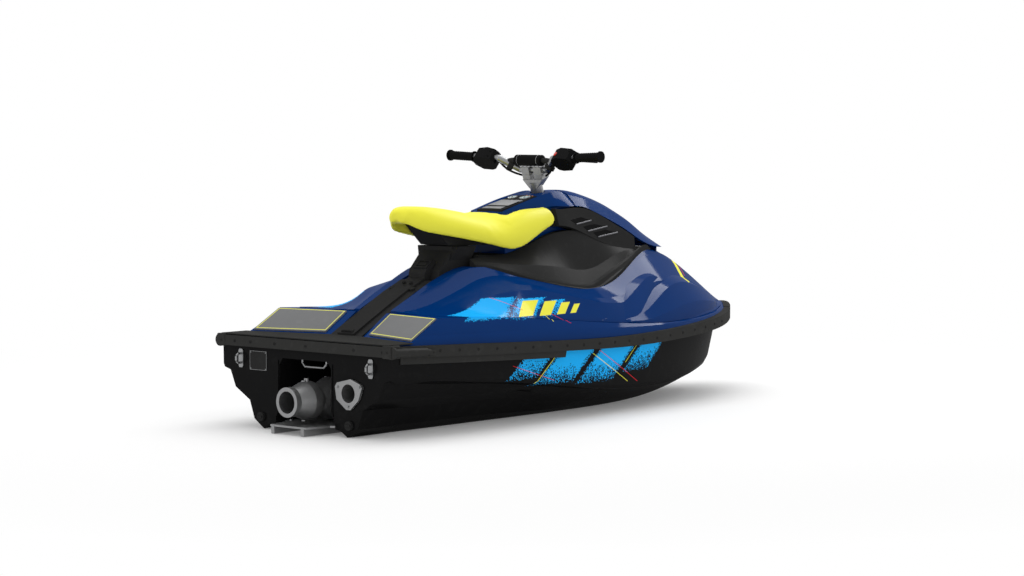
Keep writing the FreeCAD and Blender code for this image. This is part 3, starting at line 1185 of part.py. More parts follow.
plug_y = size("drain_plug_y", 226)
plug_z = size("drain_plug_z", 43)
plug_radius = size("drain_plug_radius", 17)
plug_thick = size("drain_plug_thickness", 10)
key_half = size("drain_plug_key_half", 12)
key_thick = size("drain_plug_key_thickness", 4)


def drain_plug(label, side):
    """Screw plug low on the transom."""
    body = new_body(label)
    y = plug_y * side
    disc = disc_sketch(body, label + "_disc", "YZ_Plane", transom_face - plug_thick, (y, plug_z, plug_radius))
    pad(body, label + "_pad", disc, plug_thick)
    key = loop_sketch(body, label + "_key", "YZ_Plane", transom_face - plug_thick - key_thick, rectangle(
        y - key_half, plug_z - 4, y + key_half, plug_z + 4))
    pad(body, label + "_key_pad", key, key_thick + 0.2)
    return body


plug_port = drain_plug("drain_plug_port", 1)
plug_starboard = drain_plug("drain_plug_starboard", -1)
handle = new_body("tunnel_handle")
handle_x = size("handle_x", 65)
handle_half = size("handle_half_width", 62)
handle_drop = size("handle_drop", 29)
handle_bend = size("handle_bend", 14)
handle_top = tunnel_top - 0.4
handle_low = handle_top - handle_drop
handle_run = new_sketch(handle, "handle_path", "YZ_Plane", handle_x)
handle_flat = handle_half - handle_bend
handle_nodes = [(-handle_half, handle_top), (-handle_half, handle_low + handle_bend), (-handle_flat,
    handle_low),
                (handle_flat, handle_low), (handle_half, handle_low + handle_bend), (handle_half, handle_top)]
draw_path(handle_run, handle_nodes)
handle_end = disc_sketch(handle, "handle_end", "XY_Plane", handle_top,
                         (handle_x, handle_half, size("handle_radius", 5)))
handle_pipe = handle.newObject("PartDesign::AdditivePipe", "handle_pipe")
handle_pipe.Profile = (handle_end, [""])
handle_pipe.Spine = (handle_run, [""])
handle_pipe.Transition = "Round corner"

hull_under_rail = boolean("Cut", "hull_under_rail", hull_body, room_body)
hull = boolean("Cut", "hull", hull_under_rail, skirt_room)
rail = boolean("Fuse", "rub_rail", rail_body, skirt_body)
deck_body.Label = "deck"
rib_body.Label = "channel_liner"
doc.recompute()
faults = [obj.Label for obj in doc.Objects if "Invalid" in obj.State or "Error" in obj.State]
if faults:
    raise ValueError("features that did not build: " + ", ".join(faults))
nodes = [hull, deck_body, rail, liner, rib_body, mat_port, mat_starboard, platform_mat, cushion, pan,
    pedestal, latch,
         console, gauge, hood, vent_port, vent_starboard, post, stem, bar, crosspad, grip_port, grip_starboard,
         switch_pod, throttle_pod, lever, housing, impeller, shaft, nozzle, ride, grate, engine, exhaust,
         eye_port, eye_starboard, plug_port, plug_starboard, handle]
for node in nodes:
    shape = node.Shape
    if shape.isNull() or not shape.isValid() or len(shape.Solids) != 1:
        raise ValueError("not one sound solid: " + node.Label)
    shape.exportStep("parts/%s.step" % node.Label)
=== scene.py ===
"""Studio scene of a small sit-down personal watercraft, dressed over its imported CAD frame."""
import json
import logging
import math
from dataclasses import dataclass, field
from enum import Enum
from typing import Callable, Dict, List, Optional, Sequence, Tuple

import bpy
from mathutils import Matrix, Vector

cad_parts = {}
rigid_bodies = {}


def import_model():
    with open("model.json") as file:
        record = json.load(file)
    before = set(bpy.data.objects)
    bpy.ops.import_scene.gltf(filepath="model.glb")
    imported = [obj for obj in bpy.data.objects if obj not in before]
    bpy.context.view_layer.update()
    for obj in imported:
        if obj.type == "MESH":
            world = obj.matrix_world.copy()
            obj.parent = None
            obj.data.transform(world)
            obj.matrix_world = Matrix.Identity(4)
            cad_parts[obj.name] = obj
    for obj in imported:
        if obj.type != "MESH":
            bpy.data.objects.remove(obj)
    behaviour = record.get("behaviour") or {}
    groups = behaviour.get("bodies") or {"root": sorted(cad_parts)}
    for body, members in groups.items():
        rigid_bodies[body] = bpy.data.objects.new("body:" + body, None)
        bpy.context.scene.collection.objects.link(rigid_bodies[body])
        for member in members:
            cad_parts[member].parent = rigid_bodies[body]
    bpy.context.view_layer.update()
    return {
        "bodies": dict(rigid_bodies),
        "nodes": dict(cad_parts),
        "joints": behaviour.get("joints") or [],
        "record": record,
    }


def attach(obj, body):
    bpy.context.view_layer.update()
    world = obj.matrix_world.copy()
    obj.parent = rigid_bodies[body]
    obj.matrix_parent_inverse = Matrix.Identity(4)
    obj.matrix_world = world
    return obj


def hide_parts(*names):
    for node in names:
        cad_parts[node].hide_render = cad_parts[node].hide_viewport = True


log = logging.getLogger("watercraft")
Colour = Tuple[float, float, float]
Point = Tuple[float, float, float]
Test = Callable[[Vector, Vector], bool]

MID_X = 1.2075
SIDES = (1, -1)
FACING = 0.9


def at(x: float, y: float, z: float) -> Vector:
    """Turn a place in millimetres from the transom's foot into the row frame in metres."""
    return Vector((x / 1000.0 - MID_X, y / 1000.0, z / 1000.0))


def mm(value: float) -> float:
    """Turn millimetres into metres."""
    return value / 1000.0


def span(*values: float) -> Tuple[float, ...]:
    """Turn several lengths in millimetres into metres."""
    return tuple(mm(value) for value in values)


def facing_up(centre: Vector, normal: Vector) -> bool:
    """Pick the faces that look up."""
    return normal.z > FACING


def up_within(radius: float) -> Test:
    """Give the test that picks upper faces whose centres lie within a radius in metres."""
    return lambda centre, normal: normal.z > FACING and centre.xy.length < radius


class Finish(Enum):
    """Named finishes of the craft."""

    GELCOAT_BLUE = "gelcoat_blue"
    GELCOAT_BLACK = "gelcoat_black"
    TRIM_PLASTIC = "trim_plastic"
    RAIL_RUBBER = "rail_rubber"
    MAT_FOAM = "mat_foam"
    SEAT_VINYL = "seat_vinyl"
    CAST_ALUMINIUM = "cast_aluminium"
    STEEL = "steel"
    GRIP_RUBBER = "grip_rubber"
    ENGINE_PAINT = "engine_paint"
    DIAL_FACE = "dial_face"
    STOP_BUTTON = "stop_button"
    LAMP_LENS = "lamp_lens"


class Body(Enum):
    """Bodies of the frame that pieces ride on."""

    HULL = "hull"
    SEAT = "seat"
    HANDLEBAR = "handlebar"
    NOZZLE = "nozzle"


@dataclass(frozen=True)
class Coat:
    """A lacquered, moulded or cast finish.

    Args:
        colour: Linear base colour.
        roughness: Roughness of the surface.
        metallic: Metalness of the surface.
        specular: Specular level of the base layer.
        coat: Weight of the clear coat.
        coat_roughness: Roughness of the clear coat.
        grain: Strength of the fine bump.
        grain_scale: Grains per metre.
        pits: Strength of the coarser cast or moulded texture.
        variation: How much the colour drifts over the surface.
        wear: How much lighter the rubbed patches are.
    """

    colour: Colour
    roughness: float
    metallic: float = 0.0
    specular: float = 0.0
    coat: float = 0.0
    coat_roughness: float = 0.1
    grain: float = 0.0
    grain_scale: float = 900.0
    pits: float = 0.0
    variation: float = 0.1
    wear: float = 0.0


@dataclass(frozen=True)
class Mark:
    """A slanting bar or line of the side artwork, in metres.

    Args:
        start: Place along the craft of the mark's middle line at zero height.
        lean: Metres forward for each metre up.
        half: Half width.
        low: Height of its lower end, where a sprayed bar has all but gone.
        high: Height of its upper end.
        fade: Height over which a sprayed bar breaks up.
        inboard: Least distance from the centreline.
    """

    start: float
    lean: float
    half: float
    low: float
    high: float
    fade: float = 0.0
    inboard: float = 0.3


@dataclass(frozen=True)
class Layer:
    """One colour of the side artwork.

    Args:
        colour: Its linear colour.
        marks: Its bars or lines.
        sprayed: Whether the marks break into dots, as paint from a spray can does.
    """

    colour: Colour
    marks: Tuple[Mark, ...]
    sprayed: bool = False


@dataclass(frozen=True)
class MatBorder:
    """Where the thin border line of the ramp mats runs, in millimetres.

    Args:
        foot: Place of a ramp's foot at the centreline.
        foot_sweep: Millimetres forward for each millimetre outboard.
        head: Place of its head at the centreline.
        head_sweep: Millimetres forward for each millimetre outboard.
        inner: Distance of its inner edge from the centreline.
        outer: Distance of its outer edge from the centreline.
        stretch: Length along the ramp for each millimetre along the craft.
        inset: Distance of the line from the edges.
        half: Half width of the line.
        contrast: How sharply the line ends, for each metre.
    """

    foot: float = 264.0
    foot_sweep: float = -0.29375
    head: float = 366.0
    head_sweep: float = -0.22917
    inner: float = 112.0
    outer: float = 404.0
    stretch: float = 1.2
    inset: float = 6.0
    half: float = 2.0
    contrast: float = 2500.0


class NodeDesk:
    """Small helper that places and joins shader nodes of one material or group."""

    def __init__(self, tree: bpy.types.NodeTree) -> None:
        """Keep the tree.

        Args:
            tree: Node tree that receives the nodes.
        """
        self.tree = tree

    def add(self, kind: str, **values: object) -> bpy.types.Node:
        """Add one node and set its plain properties.

        Args:
            kind: Blender's type name of the node.
            values: Properties to set on the node.

        Returns:
            The new node.
        """
        node = self.tree.nodes.new(kind)
        for name, value in values.items():
            setattr(node, name, value)
        return node

    def join(self, source: bpy.types.NodeSocket, target: bpy.types.NodeSocket) -> None:
        """Link an output to an input."""
        self.tree.links.new(source, target)

    def math(self, operation: str, a: object, b: object = None, c: object = None,
             clamp: bool = False) -> bpy.types.NodeSocket:
        """Add a Math node.

        Args:
            operation: Name of the operation.
            a: First socket or number.
            b: Second socket or number.
            c: Third socket or number.
            clamp: Whether the result is held between 0 and 1.

        Returns:
            The result's socket.
        """
        node = self.add("ShaderNodeMath", operation=operation, use_clamp=clamp)
        for index, value in enumerate((a, b, c)):
            if value is None:
                continue
            if isinstance(value, (int, float)):
                node.inputs[index].default_value = value
            else:
                self.join(value, node.inputs[index])
        return node.outputs[0]

    def least(self, *values: bpy.types.NodeSocket) -> bpy.types.NodeSocket:
        """Find the smallest of several values.

        Args:
            values: Sockets to compare.

        Returns:
            Socket of the smallest.
        """
        result = values[0]
        for value in values[1:]:
            result = self.math("MINIMUM", result, value)
        return result

    def mix(self, share: object, a: object, b: object) -> bpy.types.NodeSocket:
        """Mix two colours.

        Args:
            share: Share of the second colour.
            a: First colour or socket.
            b: Second colour or socket.

        Returns:
            Socket of the mixed colour.
        """
        node = self.add("ShaderNodeMix", data_type="RGBA")
        for name, value in (("Factor", share), ("A", a), ("B", b)):
            target = node.inputs[name] if name == "Factor" else node.inputs[6 if name == "A" else 7]
            if isinstance(value, bpy.types.NodeSocket):
                self.join(value, target)
            elif isinstance(value, (int, float)):
                target.default_value = value
            else:
                target.default_value = (*value, 1.0)
        return node.outputs[2]

    def place(self) -> Tuple[bpy.types.NodeSocket, bpy.types.NodeSocket, bpy.types.NodeSocket]:
        """Give the object coordinates as three sockets.

        Returns:
            The x, y and z sockets.
        """
        coordinates = self.add("ShaderNodeTexCoord")
        split = self.add("ShaderNodeSeparateXYZ")
        self.join(coordinates.outputs["Object"], split.inputs[0])
        return split.outputs[0], split.outputs[1], split.outputs[2]


class FinishShop:
    """Builds every material of the craft once and hands it out by name."""

    COATS: Dict[Finish, Coat] = {
        Finish.GELCOAT_BLUE: Coat(colour=(0.0008, 0.03, 0.15), roughness=0.4, coat=0.13, coat_roughness=0.09,
            grain=0.004, variation=0.05),
        Finish.GELCOAT_BLACK: Coat(colour=(0.0065, 0.0065, 0.0067), roughness=0.42, coat=0.08,
            coat_roughness=0.12, grain=0.008, grain_scale=700.0, wear=0.004),
        Finish.TRIM_PLASTIC: Coat(colour=(0.0235, 0.0235, 0.0235), roughness=0.5, coat=0.05,
            coat_roughness=0.3, grain=0.1, grain_scale=1500.0, variation=0.12, wear=0.006),
        Finish.RAIL_RUBBER: Coat(colour=(0.031, 0.031, 0.03), roughness=0.5, coat=0.06, coat_roughness=0.32,
            grain=0.12, grain_scale=1500.0, variation=0.12, wear=0.01),
        Finish.MAT_FOAM: Coat(colour=(0.185, 0.188, 0.191), roughness=0.85, specular=0.08, coat_roughness=0.3,
            grain=0.35, pits=0.25, variation=0.08, wear=0.02),
        Finish.SEAT_VINYL: Coat(colour=(0.92, 0.88, 0.07), roughness=0.5, specular=0.08, coat_roughness=0.3,
            grain=0.2, grain_scale=1300.0, pits=0.1, variation=0.04),
        Finish.CAST_ALUMINIUM: Coat(colour=(0.27, 0.272, 0.276), roughness=0.4, metallic=0.8, specular=0.5,
            coat_roughness=0.3, grain=0.2, grain_scale=700.0, pits=0.3, variation=0.18, wear=0.05),
        Finish.STEEL: Coat(colour=(0.27, 0.275, 0.28), roughness=0.36, metallic=1.0, specular=0.5,
            coat_roughness=0.3, grain=0.05),
        Finish.GRIP_RUBBER: Coat(colour=(0.0062, 0.0062, 0.0064), roughness=0.5, coat=0.06,
            coat_roughness=0.25, grain=0.3, pits=0.15),
        # Its pale grey also paints the highlight on the vent slats.
        Finish.ENGINE_PAINT: Coat(colour=(0.09, 0.09, 0.1), roughness=0.6, metallic=0.2, specular=0.2,
            coat_roughness=0.3, grain=0.2, grain_scale=400.0, pits=0.2),
        Finish.DIAL_FACE: Coat(colour=(0.35, 0.48, 0.48), roughness=0.35, specular=0.2, coat=0.3,
            coat_roughness=0.08, grain=0.02, grain_scale=600.0, variation=0.05),
        Finish.STOP_BUTTON: Coat(colour=(0.62, 0.025, 0.015), roughness=0.35, specular=0.3, coat=0.2,
            grain=0.02, grain_scale=600.0, variation=0.05),
        Finish.LAMP_LENS: Coat(colour=(0.5, 0.18, 0.05), roughness=0.25, specular=0.4, coat=0.4,
            coat_roughness=0.08, grain=0.01, grain_scale=600.0, variation=0.05),
    }
    CYAN: Colour = (0.014, 0.44, 0.96)
    YELLOW: Colour = (0.92, 0.88, 0.08)
    RED: Colour = (0.75, 0.02, 0.03)
    MAT_LINE: Colour = (0.86, 0.84, 0.16)
    ARTWORK: Dict[Finish, Tuple[Layer, ...]] = {
        Finish.GELCOAT_BLACK: (
            Layer(CYAN, (
                Mark(start=-0.72, lean=1.2, half=0.085, low=0.165, high=0.30, fade=0.075),
                Mark(start=-0.50, lean=1.2, half=0.115, low=0.135, high=0.30, fade=0.075),
                Mark(start=-0.24, lean=1.2, half=0.120, low=0.125, high=0.30, fade=0.080),
                Mark(start=0.00, lean=1.2, half=0.090, low=0.150, high=0.30, fade=0.085)), sprayed=True),
            Layer(YELLOW, (
                Mark(start=-0.615, lean=1.2, half=0.0022, low=0.15, high=0.29),
                Mark(start=0.36, lean=-1.9, half=0.0026, low=0.115, high=0.24),
                Mark(start=-0.11, lean=1.2, half=0.0020, low=0.19, high=0.30))),
            Layer(RED, (
                Mark(start=0.42, lean=-1.9, half=0.0026, low=0.11, high=0.25),
                Mark(start=0.20, lean=-3.4, half=0.0030, low=0.155, high=0.225)))),
        Finish.GELCOAT_BLUE: (
            Layer(CYAN, (
                Mark(start=-1.27, lean=1.5, half=0.13, low=0.395, high=0.470, fade=0.012),
                Mark(start=-1.06, lean=1.5, half=0.08, low=0.385, high=0.462, fade=0.050),
                Mark(start=-0.90, lean=1.5, half=0.05, low=0.385, high=0.450, fade=0.070)), sprayed=True),
            Layer(YELLOW, (
                Mark(start=-0.925, lean=1.2, half=0.042, low=0.398, high=0.453),
                Mark(start=-0.810, lean=1.2, half=0.034, low=0.395, high=0.446),
                Mark(start=-0.715, lean=1.2, half=0.026, low=0.395, high=0.437),
                Mark(start=-0.640, lean=1.2, half=0.018, low=0.395, high=0.428),
                Mark(start=0.10, lean=-1.1, half=0.0022, low=0.372, high=0.41),
                Mark(start=0.51, lean=0.6, half=0.020, low=0.46, high=0.575, inboard=0.045))),
            Layer(RED, (
                Mark(start=0.62, lean=-2.3, half=0.0026, low=0.36, high=0.40),
                Mark(start=0.52, lean=-2.3, half=0.0024, low=0.42, high=0.47, inboard=0.28),
                Mark(start=0.560, lean=0.6, half=0.004, low=0.48, high=0.55, inboard=0.045)))),
    }
    FADED_RIM = 0.03
    CRISP_RIM = 0.004
    INNER_RIM = 0.01
    DOTS_PER_METRE = 290.0
    SPRAY_POWER = 1.3
    DOT_CONTRAST = 14.0
    LINE_CONTRAST = 1200.0
    BUMP_DEPTH = 0.0006

    def __init__(self) -> None:
        """Prepare the shared node groups."""
        self.made: Dict[str, bpy.types.Material] = {}
        self.grain_group = self._build_grain()
        self.spray_group = self._build_mark("sprayed_bar", sprayed=True)
        self.line_group = self._build_mark("pin_line", sprayed=False)

    def _build_grain(self) -> bpy.types.NodeTree:
        """Build the shared group of fine grain, pits, rubbed patches and slow colour drift.

        Returns:
            The group.
        """
        tree = bpy.data.node_groups.new("surface_grain", "ShaderNodeTree")
        tree.interface.new_socket("Scale", in_out="INPUT", socket_type="NodeSocketFloat")
        for name in ("Drift", "Height", "Pits", "Rub"):
            tree.interface.new_socket(name, in_out="OUTPUT", socket_type="NodeSocketFloat")
        desk = NodeDesk(tree)
        inlet = desk.add("NodeGroupInput")
        outlet = desk.add("NodeGroupOutput")
        place = desk.add("ShaderNodeTexCoord")
        fine = desk.add("ShaderNodeTexNoise")
        fine.inputs["Detail"].default_value = 3.0
        desk.join(place.outputs["Object"], fine.inputs["Vector"])
        desk.join(inlet.outputs["Scale"], fine.inputs["Scale"])
        slow = desk.add("ShaderNodeTexNoise")
        slow.inputs["Scale"].default_value = 5.0
        slow.inputs["Detail"].default_value = 4.0
        desk.join(place.outputs["Object"], slow.inputs["Vector"])
        cells = desk.add("ShaderNodeTexVoronoi", feature="SMOOTH_F1")
        desk.join(place.outputs["Object"], cells.inputs["Vector"])
        desk.join(desk.math("MULTIPLY", inlet.outputs["Scale"], 0.35), cells.inputs["Scale"])
        streak = desk.add("ShaderNodeTexNoise")
        streak.inputs["Scale"].default_value = 28.0
        streak.inputs["Detail"].default_value = 8.0
        desk.join(place.outputs["Object"], streak.inputs["Vector"])
        rub = desk.math("MULTIPLY", desk.math("SUBTRACT", streak.outputs["Fac"], 0.56), 9.0, clamp=True)
        desk.join(slow.outputs["Fac"], outlet.inputs["Drift"])
        desk.join(fine.outputs["Fac"], outlet.inputs["Height"])
        desk.join(cells.outputs["Distance"], outlet.inputs["Pits"])
        desk.join(rub, outlet.inputs["Rub"])
        return tree

    def _build_mark(self, name: str, sprayed: bool) -> bpy.types.NodeTree:
        """Build the group that masks one slanting mark of the artwork.

        Args:
            name: Name of the group.
            sprayed: Whether the mark breaks into dots towards its rim and lower end.

        Returns:
            The group.
        """
        tree = bpy.data.node_groups.new(name, "ShaderNodeTree")
        for size in ("Start", "Lean", "Half", "Low", "High", "Fade", "Inboard"):
            if sprayed or size != "Fade":
                tree.interface.new_socket(size, in_out="INPUT", socket_type="NodeSocketFloat")
        tree.interface.new_socket("Mask", in_out="OUTPUT", socket_type="NodeSocketFloat")
        desk = NodeDesk(tree)
        inlet = desk.add("NodeGroupInput")
        outlet = desk.add("NodeGroupOutput")
        x, y, z = desk.place()
        middle = desk.math("MULTIPLY_ADD", z, inlet.outputs["Lean"], inlet.outputs["Start"])
        across = desk.math("ABSOLUTE", desk.math("SUBTRACT", x, middle))
        side = desk.math("SUBTRACT", inlet.outputs["Half"], across)
        foot = desk.math("SUBTRACT", z, inlet.outputs["Low"])
        head = desk.math("SUBTRACT", inlet.outputs["High"], z)
        out = desk.math("SUBTRACT", desk.math("ABSOLUTE", y), inlet.outputs["Inboard"])
        if sprayed:
            solid = desk.least(desk.math("DIVIDE", side, self.FADED_RIM),
                               desk.math("DIVIDE", foot, inlet.outputs["Fade"]),
                               desk.math("DIVIDE", head, self.CRISP_RIM),
                               desk.math("DIVIDE", out, self.INNER_RIM))
            excess = desk.math("SUBTRACT", solid, self._spray(desk))
            mask = desk.math("MULTIPLY", excess, self.DOT_CONTRAST, clamp=True)
        else:
            mask = desk.math("MULTIPLY", desk.least(side, foot, head, out), self.LINE_CONTRAST, clamp=True)
        desk.join(mask, outlet.inputs["Mask"])
        return tree

    def _spray(self, desk: NodeDesk) -> bpy.types.NodeSocket:
        """Give every small cell of the surface its own height, so that sprayed dots drop out one by one.

        Args:
            desk: Desk of the group.

        Returns:
            Socket of the heights, between 0 and 1.
        """
        coordinates = desk.add("ShaderNodeTexCoord")
        dots = desk.add("ShaderNodeTexVoronoi")
        dots.inputs["Scale"].default_value = self.DOTS_PER_METRE
        desk.join(coordinates.outputs["Object"], dots.inputs["Vector"])
        split = desk.add("ShaderNodeSeparateColor")
        desk.join(dots.outputs["Color"], split.inputs[0])
        return desk.math("POWER", split.outputs[0], self.SPRAY_POWER)

    def get(self, finish: Finish) -> bpy.types.Material:
        """Hand out the material of a finish, building it on first use.

        Args:
            finish: The finish wanted.

        Returns:
            The material.
        """
        if finish.value not in self.made:
            self.made[finish.value] = self._build(finish)
        return self.made[finish.value]

    def _build(self, finish: Finish) -> bpy.types.Material:
        """Build one material from its recipe.

        Args:
            finish: The finish wanted.

        Returns:
            The material.
        """
        coat = self.COATS[finish]
        material = bpy.data.materials.new(finish.value)
        material.use_nodes = True
        desk = NodeDesk(material.node_tree)
        shader = material.node_tree.nodes["Principled BSDF"]
        grain = desk.add("ShaderNodeGroup")
        grain.node_tree = self.grain_group
        grain.inputs["Scale"].default_value = coat.grain_scale
        low = tuple(c * (1.0 - coat.variation) for c in coat.colour)
        high = tuple(min(1.0, c * (1.0 + coat.variation)) for c in coat.colour)
        colour = desk.mix(grain.outputs["Drift"], low, high)
        if coat.wear:
            rubbed = tuple(min(1.0, c + coat.wear) for c in coat.colour)
            colour = desk.mix(desk.math("MULTIPLY", grain.outputs["Rub"], 0.5), colour, rubbed)
        for layer in self.ARTWORK.get(finish, ()):
            colour = desk.mix(self._mask(desk, layer), colour, layer.colour)
        if finish is Finish.MAT_FOAM:
            colour = desk.mix(self._mat_line(desk, MatBorder()), colour, self.MAT_LINE)
        desk.join(colour, shader.inputs["Base Color"])
        rough = desk.math("MULTIPLY_ADD", grain.outputs["Rub"], 0.05 + coat.wear, coat.roughness - 0.02)
        desk.join(rough, shader.inputs["Roughness"])
        shader.inputs["Metallic"].default_value = coat.metallic
        shader.inputs["Specular IOR Level"].default_value = coat.specular
        shader.inputs["Coat Weight"].default_value = coat.coat
        shader.inputs["Coat Roughness"].default_value = coat.coat_roughness
        height = desk.math("MULTIPLY", grain.outputs["Height"], coat.grain)
        if coat.pits:
            height = desk.math("MULTIPLY_ADD", grain.outputs["Pits"], coat.pits, height)
        bump = desk.add("ShaderNodeBump")
        bump.inputs["Strength"].default_value = 1.0
        bump.inputs["Distance"].default_value = self.BUMP_DEPTH
        desk.join(height, bump.inputs["Height"])
        desk.join(bump.outputs["Normal"], shader.inputs["Normal"])
        return material

    def _mask(self, desk: NodeDesk, layer: Layer) -> bpy.types.NodeSocket:
        """Mask all marks of one layer at once.

        Args:
            desk: Desk of the material.
            layer: The layer.

        Returns:
            Socket of the joined mask.
        """
        total = None
        for mark in layer.marks:
            node = desk.add("ShaderNodeGroup")
            node.node_tree = self.spray_group if layer.sprayed else self.line_group
            for socket in node.inputs:
                socket.default_value = getattr(mark, socket.name.lower())
            mask = node.outputs["Mask"]
            total = mask if total is None else desk.math("MAXIMUM", total, mask)
        return total

    def _mat_line(self, desk: NodeDesk, border: MatBorder) -> bpy.types.NodeSocket:
        """Mask the thin border line of the ramp mats.

        Args:
            desk: Desk of the material.
            border: Where the line runs.

        Returns:
            Socket of the mask.
        """
        x, y, _ = desk.place()
        out = desk.math("ABSOLUTE", y)
        aft = desk.math("ADD", x, MID_X)
        low = desk.math("SUBTRACT", aft, desk.math("MULTIPLY_ADD", out, border.foot_sweep, mm(border.foot)))
        high = desk.math("SUBTRACT", desk.math("MULTIPLY_ADD", out, border.head_sweep, mm(border.head)), aft)
        inner = desk.math("SUBTRACT", out, mm(border.inner))
        outer = desk.math("SUBTRACT", mm(border.outer), out)
        edge = desk.least(desk.math("MULTIPLY", low, border.stretch), desk.math("MULTIPLY", high, border.stretch),
                          inner, outer)
        near = desk.math("ABSOLUTE", desk.math("SUBTRACT", edge, mm(border.inset)))
        return desk.math("MULTIPLY", desk.math("SUBTRACT", mm(border.half), near), border.contrast, clamp=True)


def dress(obj: bpy.types.Object, material: bpy.types.Material) -> None:
    """Give an object one material."""
    if obj.material_slots:
        for slot in obj.material_slots:
            slot.material = material
    else:
        obj.data.materials.append(material)


class Bench:
    """Tools for modelling a piece by hand: primitives, face picking, bevels, tubes and copies."""

    @staticmethod
    def _named(name: str) -> bpy.types.Object:
        """Name the object just added and settle its turn and scale."""
        obj = bpy.context.object
        obj.name = name
        obj.data.name = name
        bpy.ops.object.transform_apply(location=True, rotation=True, scale=True)
        return obj

    @staticmethod
    def focus(obj: bpy.types.Object) -> None:
        """Make one object the selected and active one."""
        bpy.ops.object.select_all(action="DESELECT")
        obj.select_set(True)
        bpy.context.view_layer.objects.active = obj

    @classmethod
    def block(cls, name: str, centre: Sequence[float], sizes: Sequence[float]) -> bpy.types.Object:
        """Add a block about a local centre.

        Args:
            name: Name of the piece.
            centre: Centre in metres.
            sizes: Lengths along x, y and z in metres.

        Returns:
            The block.
        """
        bpy.ops.object.select_all(action="DESELECT")
        bpy.ops.mesh.primitive_cube_add(size=1.0, location=centre)
        bpy.context.object.scale = sizes
        return cls._named(name)

    @classmethod
    def disc(cls, name: str, radius: float, height: float, sides: int = 32) -> bpy.types.Object:
        """Add a cylinder that stands on the origin along +Z.

        Args:
            name: Name of the piece.
            radius: Radius in metres.
            height: Height in metres.
            sides: Number of sides.

        Returns:
            The cylinder.
        """
        bpy.ops.object.select_all(action="DESELECT")
        bpy.ops.mesh.primitive_cylinder_add(vertices=sides, radius=radius, depth=height,
                                            location=(0, 0, height / 2))
        return cls._named(name)

    @classmethod
    def ring(cls, name: str, radius: float, thickness: float, sides: int = 40) -> bpy.types.Object:
        """Add a flat-lying ring round the origin.

        Args:
            name: Name of the piece.
            radius: Radius of its middle line in metres.
            thickness: Radius of its section in metres.
            sides: Number of steps round it.

        Returns:
            The ring.
        """
        bpy.ops.object.select_all(action="DESELECT")
        bpy.ops.mesh.primitive_torus_add(major_radius=radius, minor_radius=thickness, major_segments=sides,
                                         minor_segments=10)
        return cls._named(name)

    @classmethod
    def edit(cls, obj: bpy.types.Object, test: Test) -> int:
        """Enter edit mode with only the faces that pass a test selected.

        Args:
            obj: The mesh object.
            test: Takes a face's centre and normal.

        Returns:
            How many faces were picked.
        """
        cls.focus(obj)
        bpy.ops.object.mode_set(mode="EDIT")
        bpy.ops.mesh.select_mode(type="FACE")
        bpy.ops.mesh.select_all(action="DESELECT")
        bpy.ops.object.mode_set(mode="OBJECT")
        picked = 0
        for face in obj.data.polygons:
            face.select = bool(test(face.center, face.normal))
            picked += face.select
        bpy.ops.object.mode_set(mode="EDIT")
        return picked

    @staticmethod
    def leave() -> None:
        """Leave edit mode."""
        bpy.ops.object.mode_set(mode="OBJECT")

    @classmethod
    def inset(cls, obj: bpy.types.Object, test: Test, thickness: float, depth: float = 0.0) -> None:
        """Inset the picked faces.

        Args:
            obj: The mesh object.
            test: Takes a face's centre and normal.
            thickness: Width of the border in metres.
            depth: How far the inner faces rise, negative for a hollow.
        """
        cls.edit(obj, test)
        bpy.ops.mesh.inset(thickness=thickness, depth=depth)
        cls.leave()

    @classmethod
    def hollow(cls, obj: bpy.types.Object, test: Test, thickness: float) -> None:
        """Open a frame through a block, between its two picked faces.

        Args:
            obj: The mesh object.
            test: Takes a face's centre and normal.
            thickness: Width of the frame in metres.
        """
        cls.edit(obj, test)
        bpy.ops.mesh.inset(thickness=thickness)
        bpy.ops.mesh.bridge_edge_loops()
        cls.leave()
        cls.outward(obj)

    @classmethod
    def raise_faces(cls, obj: bpy.types.Object, test: Test, step: Sequence[float],
                    shrink: float = 1.0) -> None:
        """Extrude the picked faces.

        Args:
            obj: The mesh object.
            test: Takes a face's centre and normal.
            step: Move in metres.
            shrink: Scale of the new faces about their middle.
        """
        cls.edit(obj, test)
        bpy.ops.mesh.extrude_region_move(TRANSFORM_OT_translate={"value": tuple(step)})
        if shrink != 1.0:
            bpy.ops.transform.resize(value=(shrink, shrink, shrink))
        cls.leave()

    @classmethod
    def round_edges(cls, obj: bpy.types.Object, width: float, segments: int = 2,
                    angle: float = 30.0) -> bpy.types.Object:
        """Bevel the sharp edges and shade the piece smooth by angle.

        Args:
            obj: The mesh object.
            width: Width of the bevel in metres.
            segments: Steps across it.
            angle: Least angle in degrees.

        Returns:
            The same object.
        """
        cls.focus(obj)
        bevel = obj.modifiers.new("bevel", "BEVEL")
        bevel.width = width
        bevel.segments = segments
        bevel.limit_method = "ANGLE"
        bevel.angle_limit = math.radians(angle)
        bpy.ops.object.modifier_apply(modifier="bevel")
        bpy.ops.object.shade_smooth_by_angle(angle=math.radians(35))
        return obj

    @classmethod
    def smooth(cls, obj: bpy.types.Object, angle: float = 40.0) -> bpy.types.Object:
        """Shade a piece smooth below an angle in degrees."""
        cls.focus(obj)
        bpy.ops.object.shade_smooth_by_angle(angle=math.radians(angle))
        return obj

    @classmethod
    def outward(cls, obj: bpy.types.Object) -> bpy.types.Object:
        """Merge doubles and turn every face outward."""
        cls.focus(obj)
        bpy.ops.object.mode_set(mode="EDIT")
        bpy.ops.mesh.select_all(action="SELECT")
        bpy.ops.mesh.remove_doubles(threshold=0.00005)
        bpy.ops.mesh.normals_make_consistent(inside=False)
        bpy.ops.object.mode_set(mode="OBJECT")
        return obj

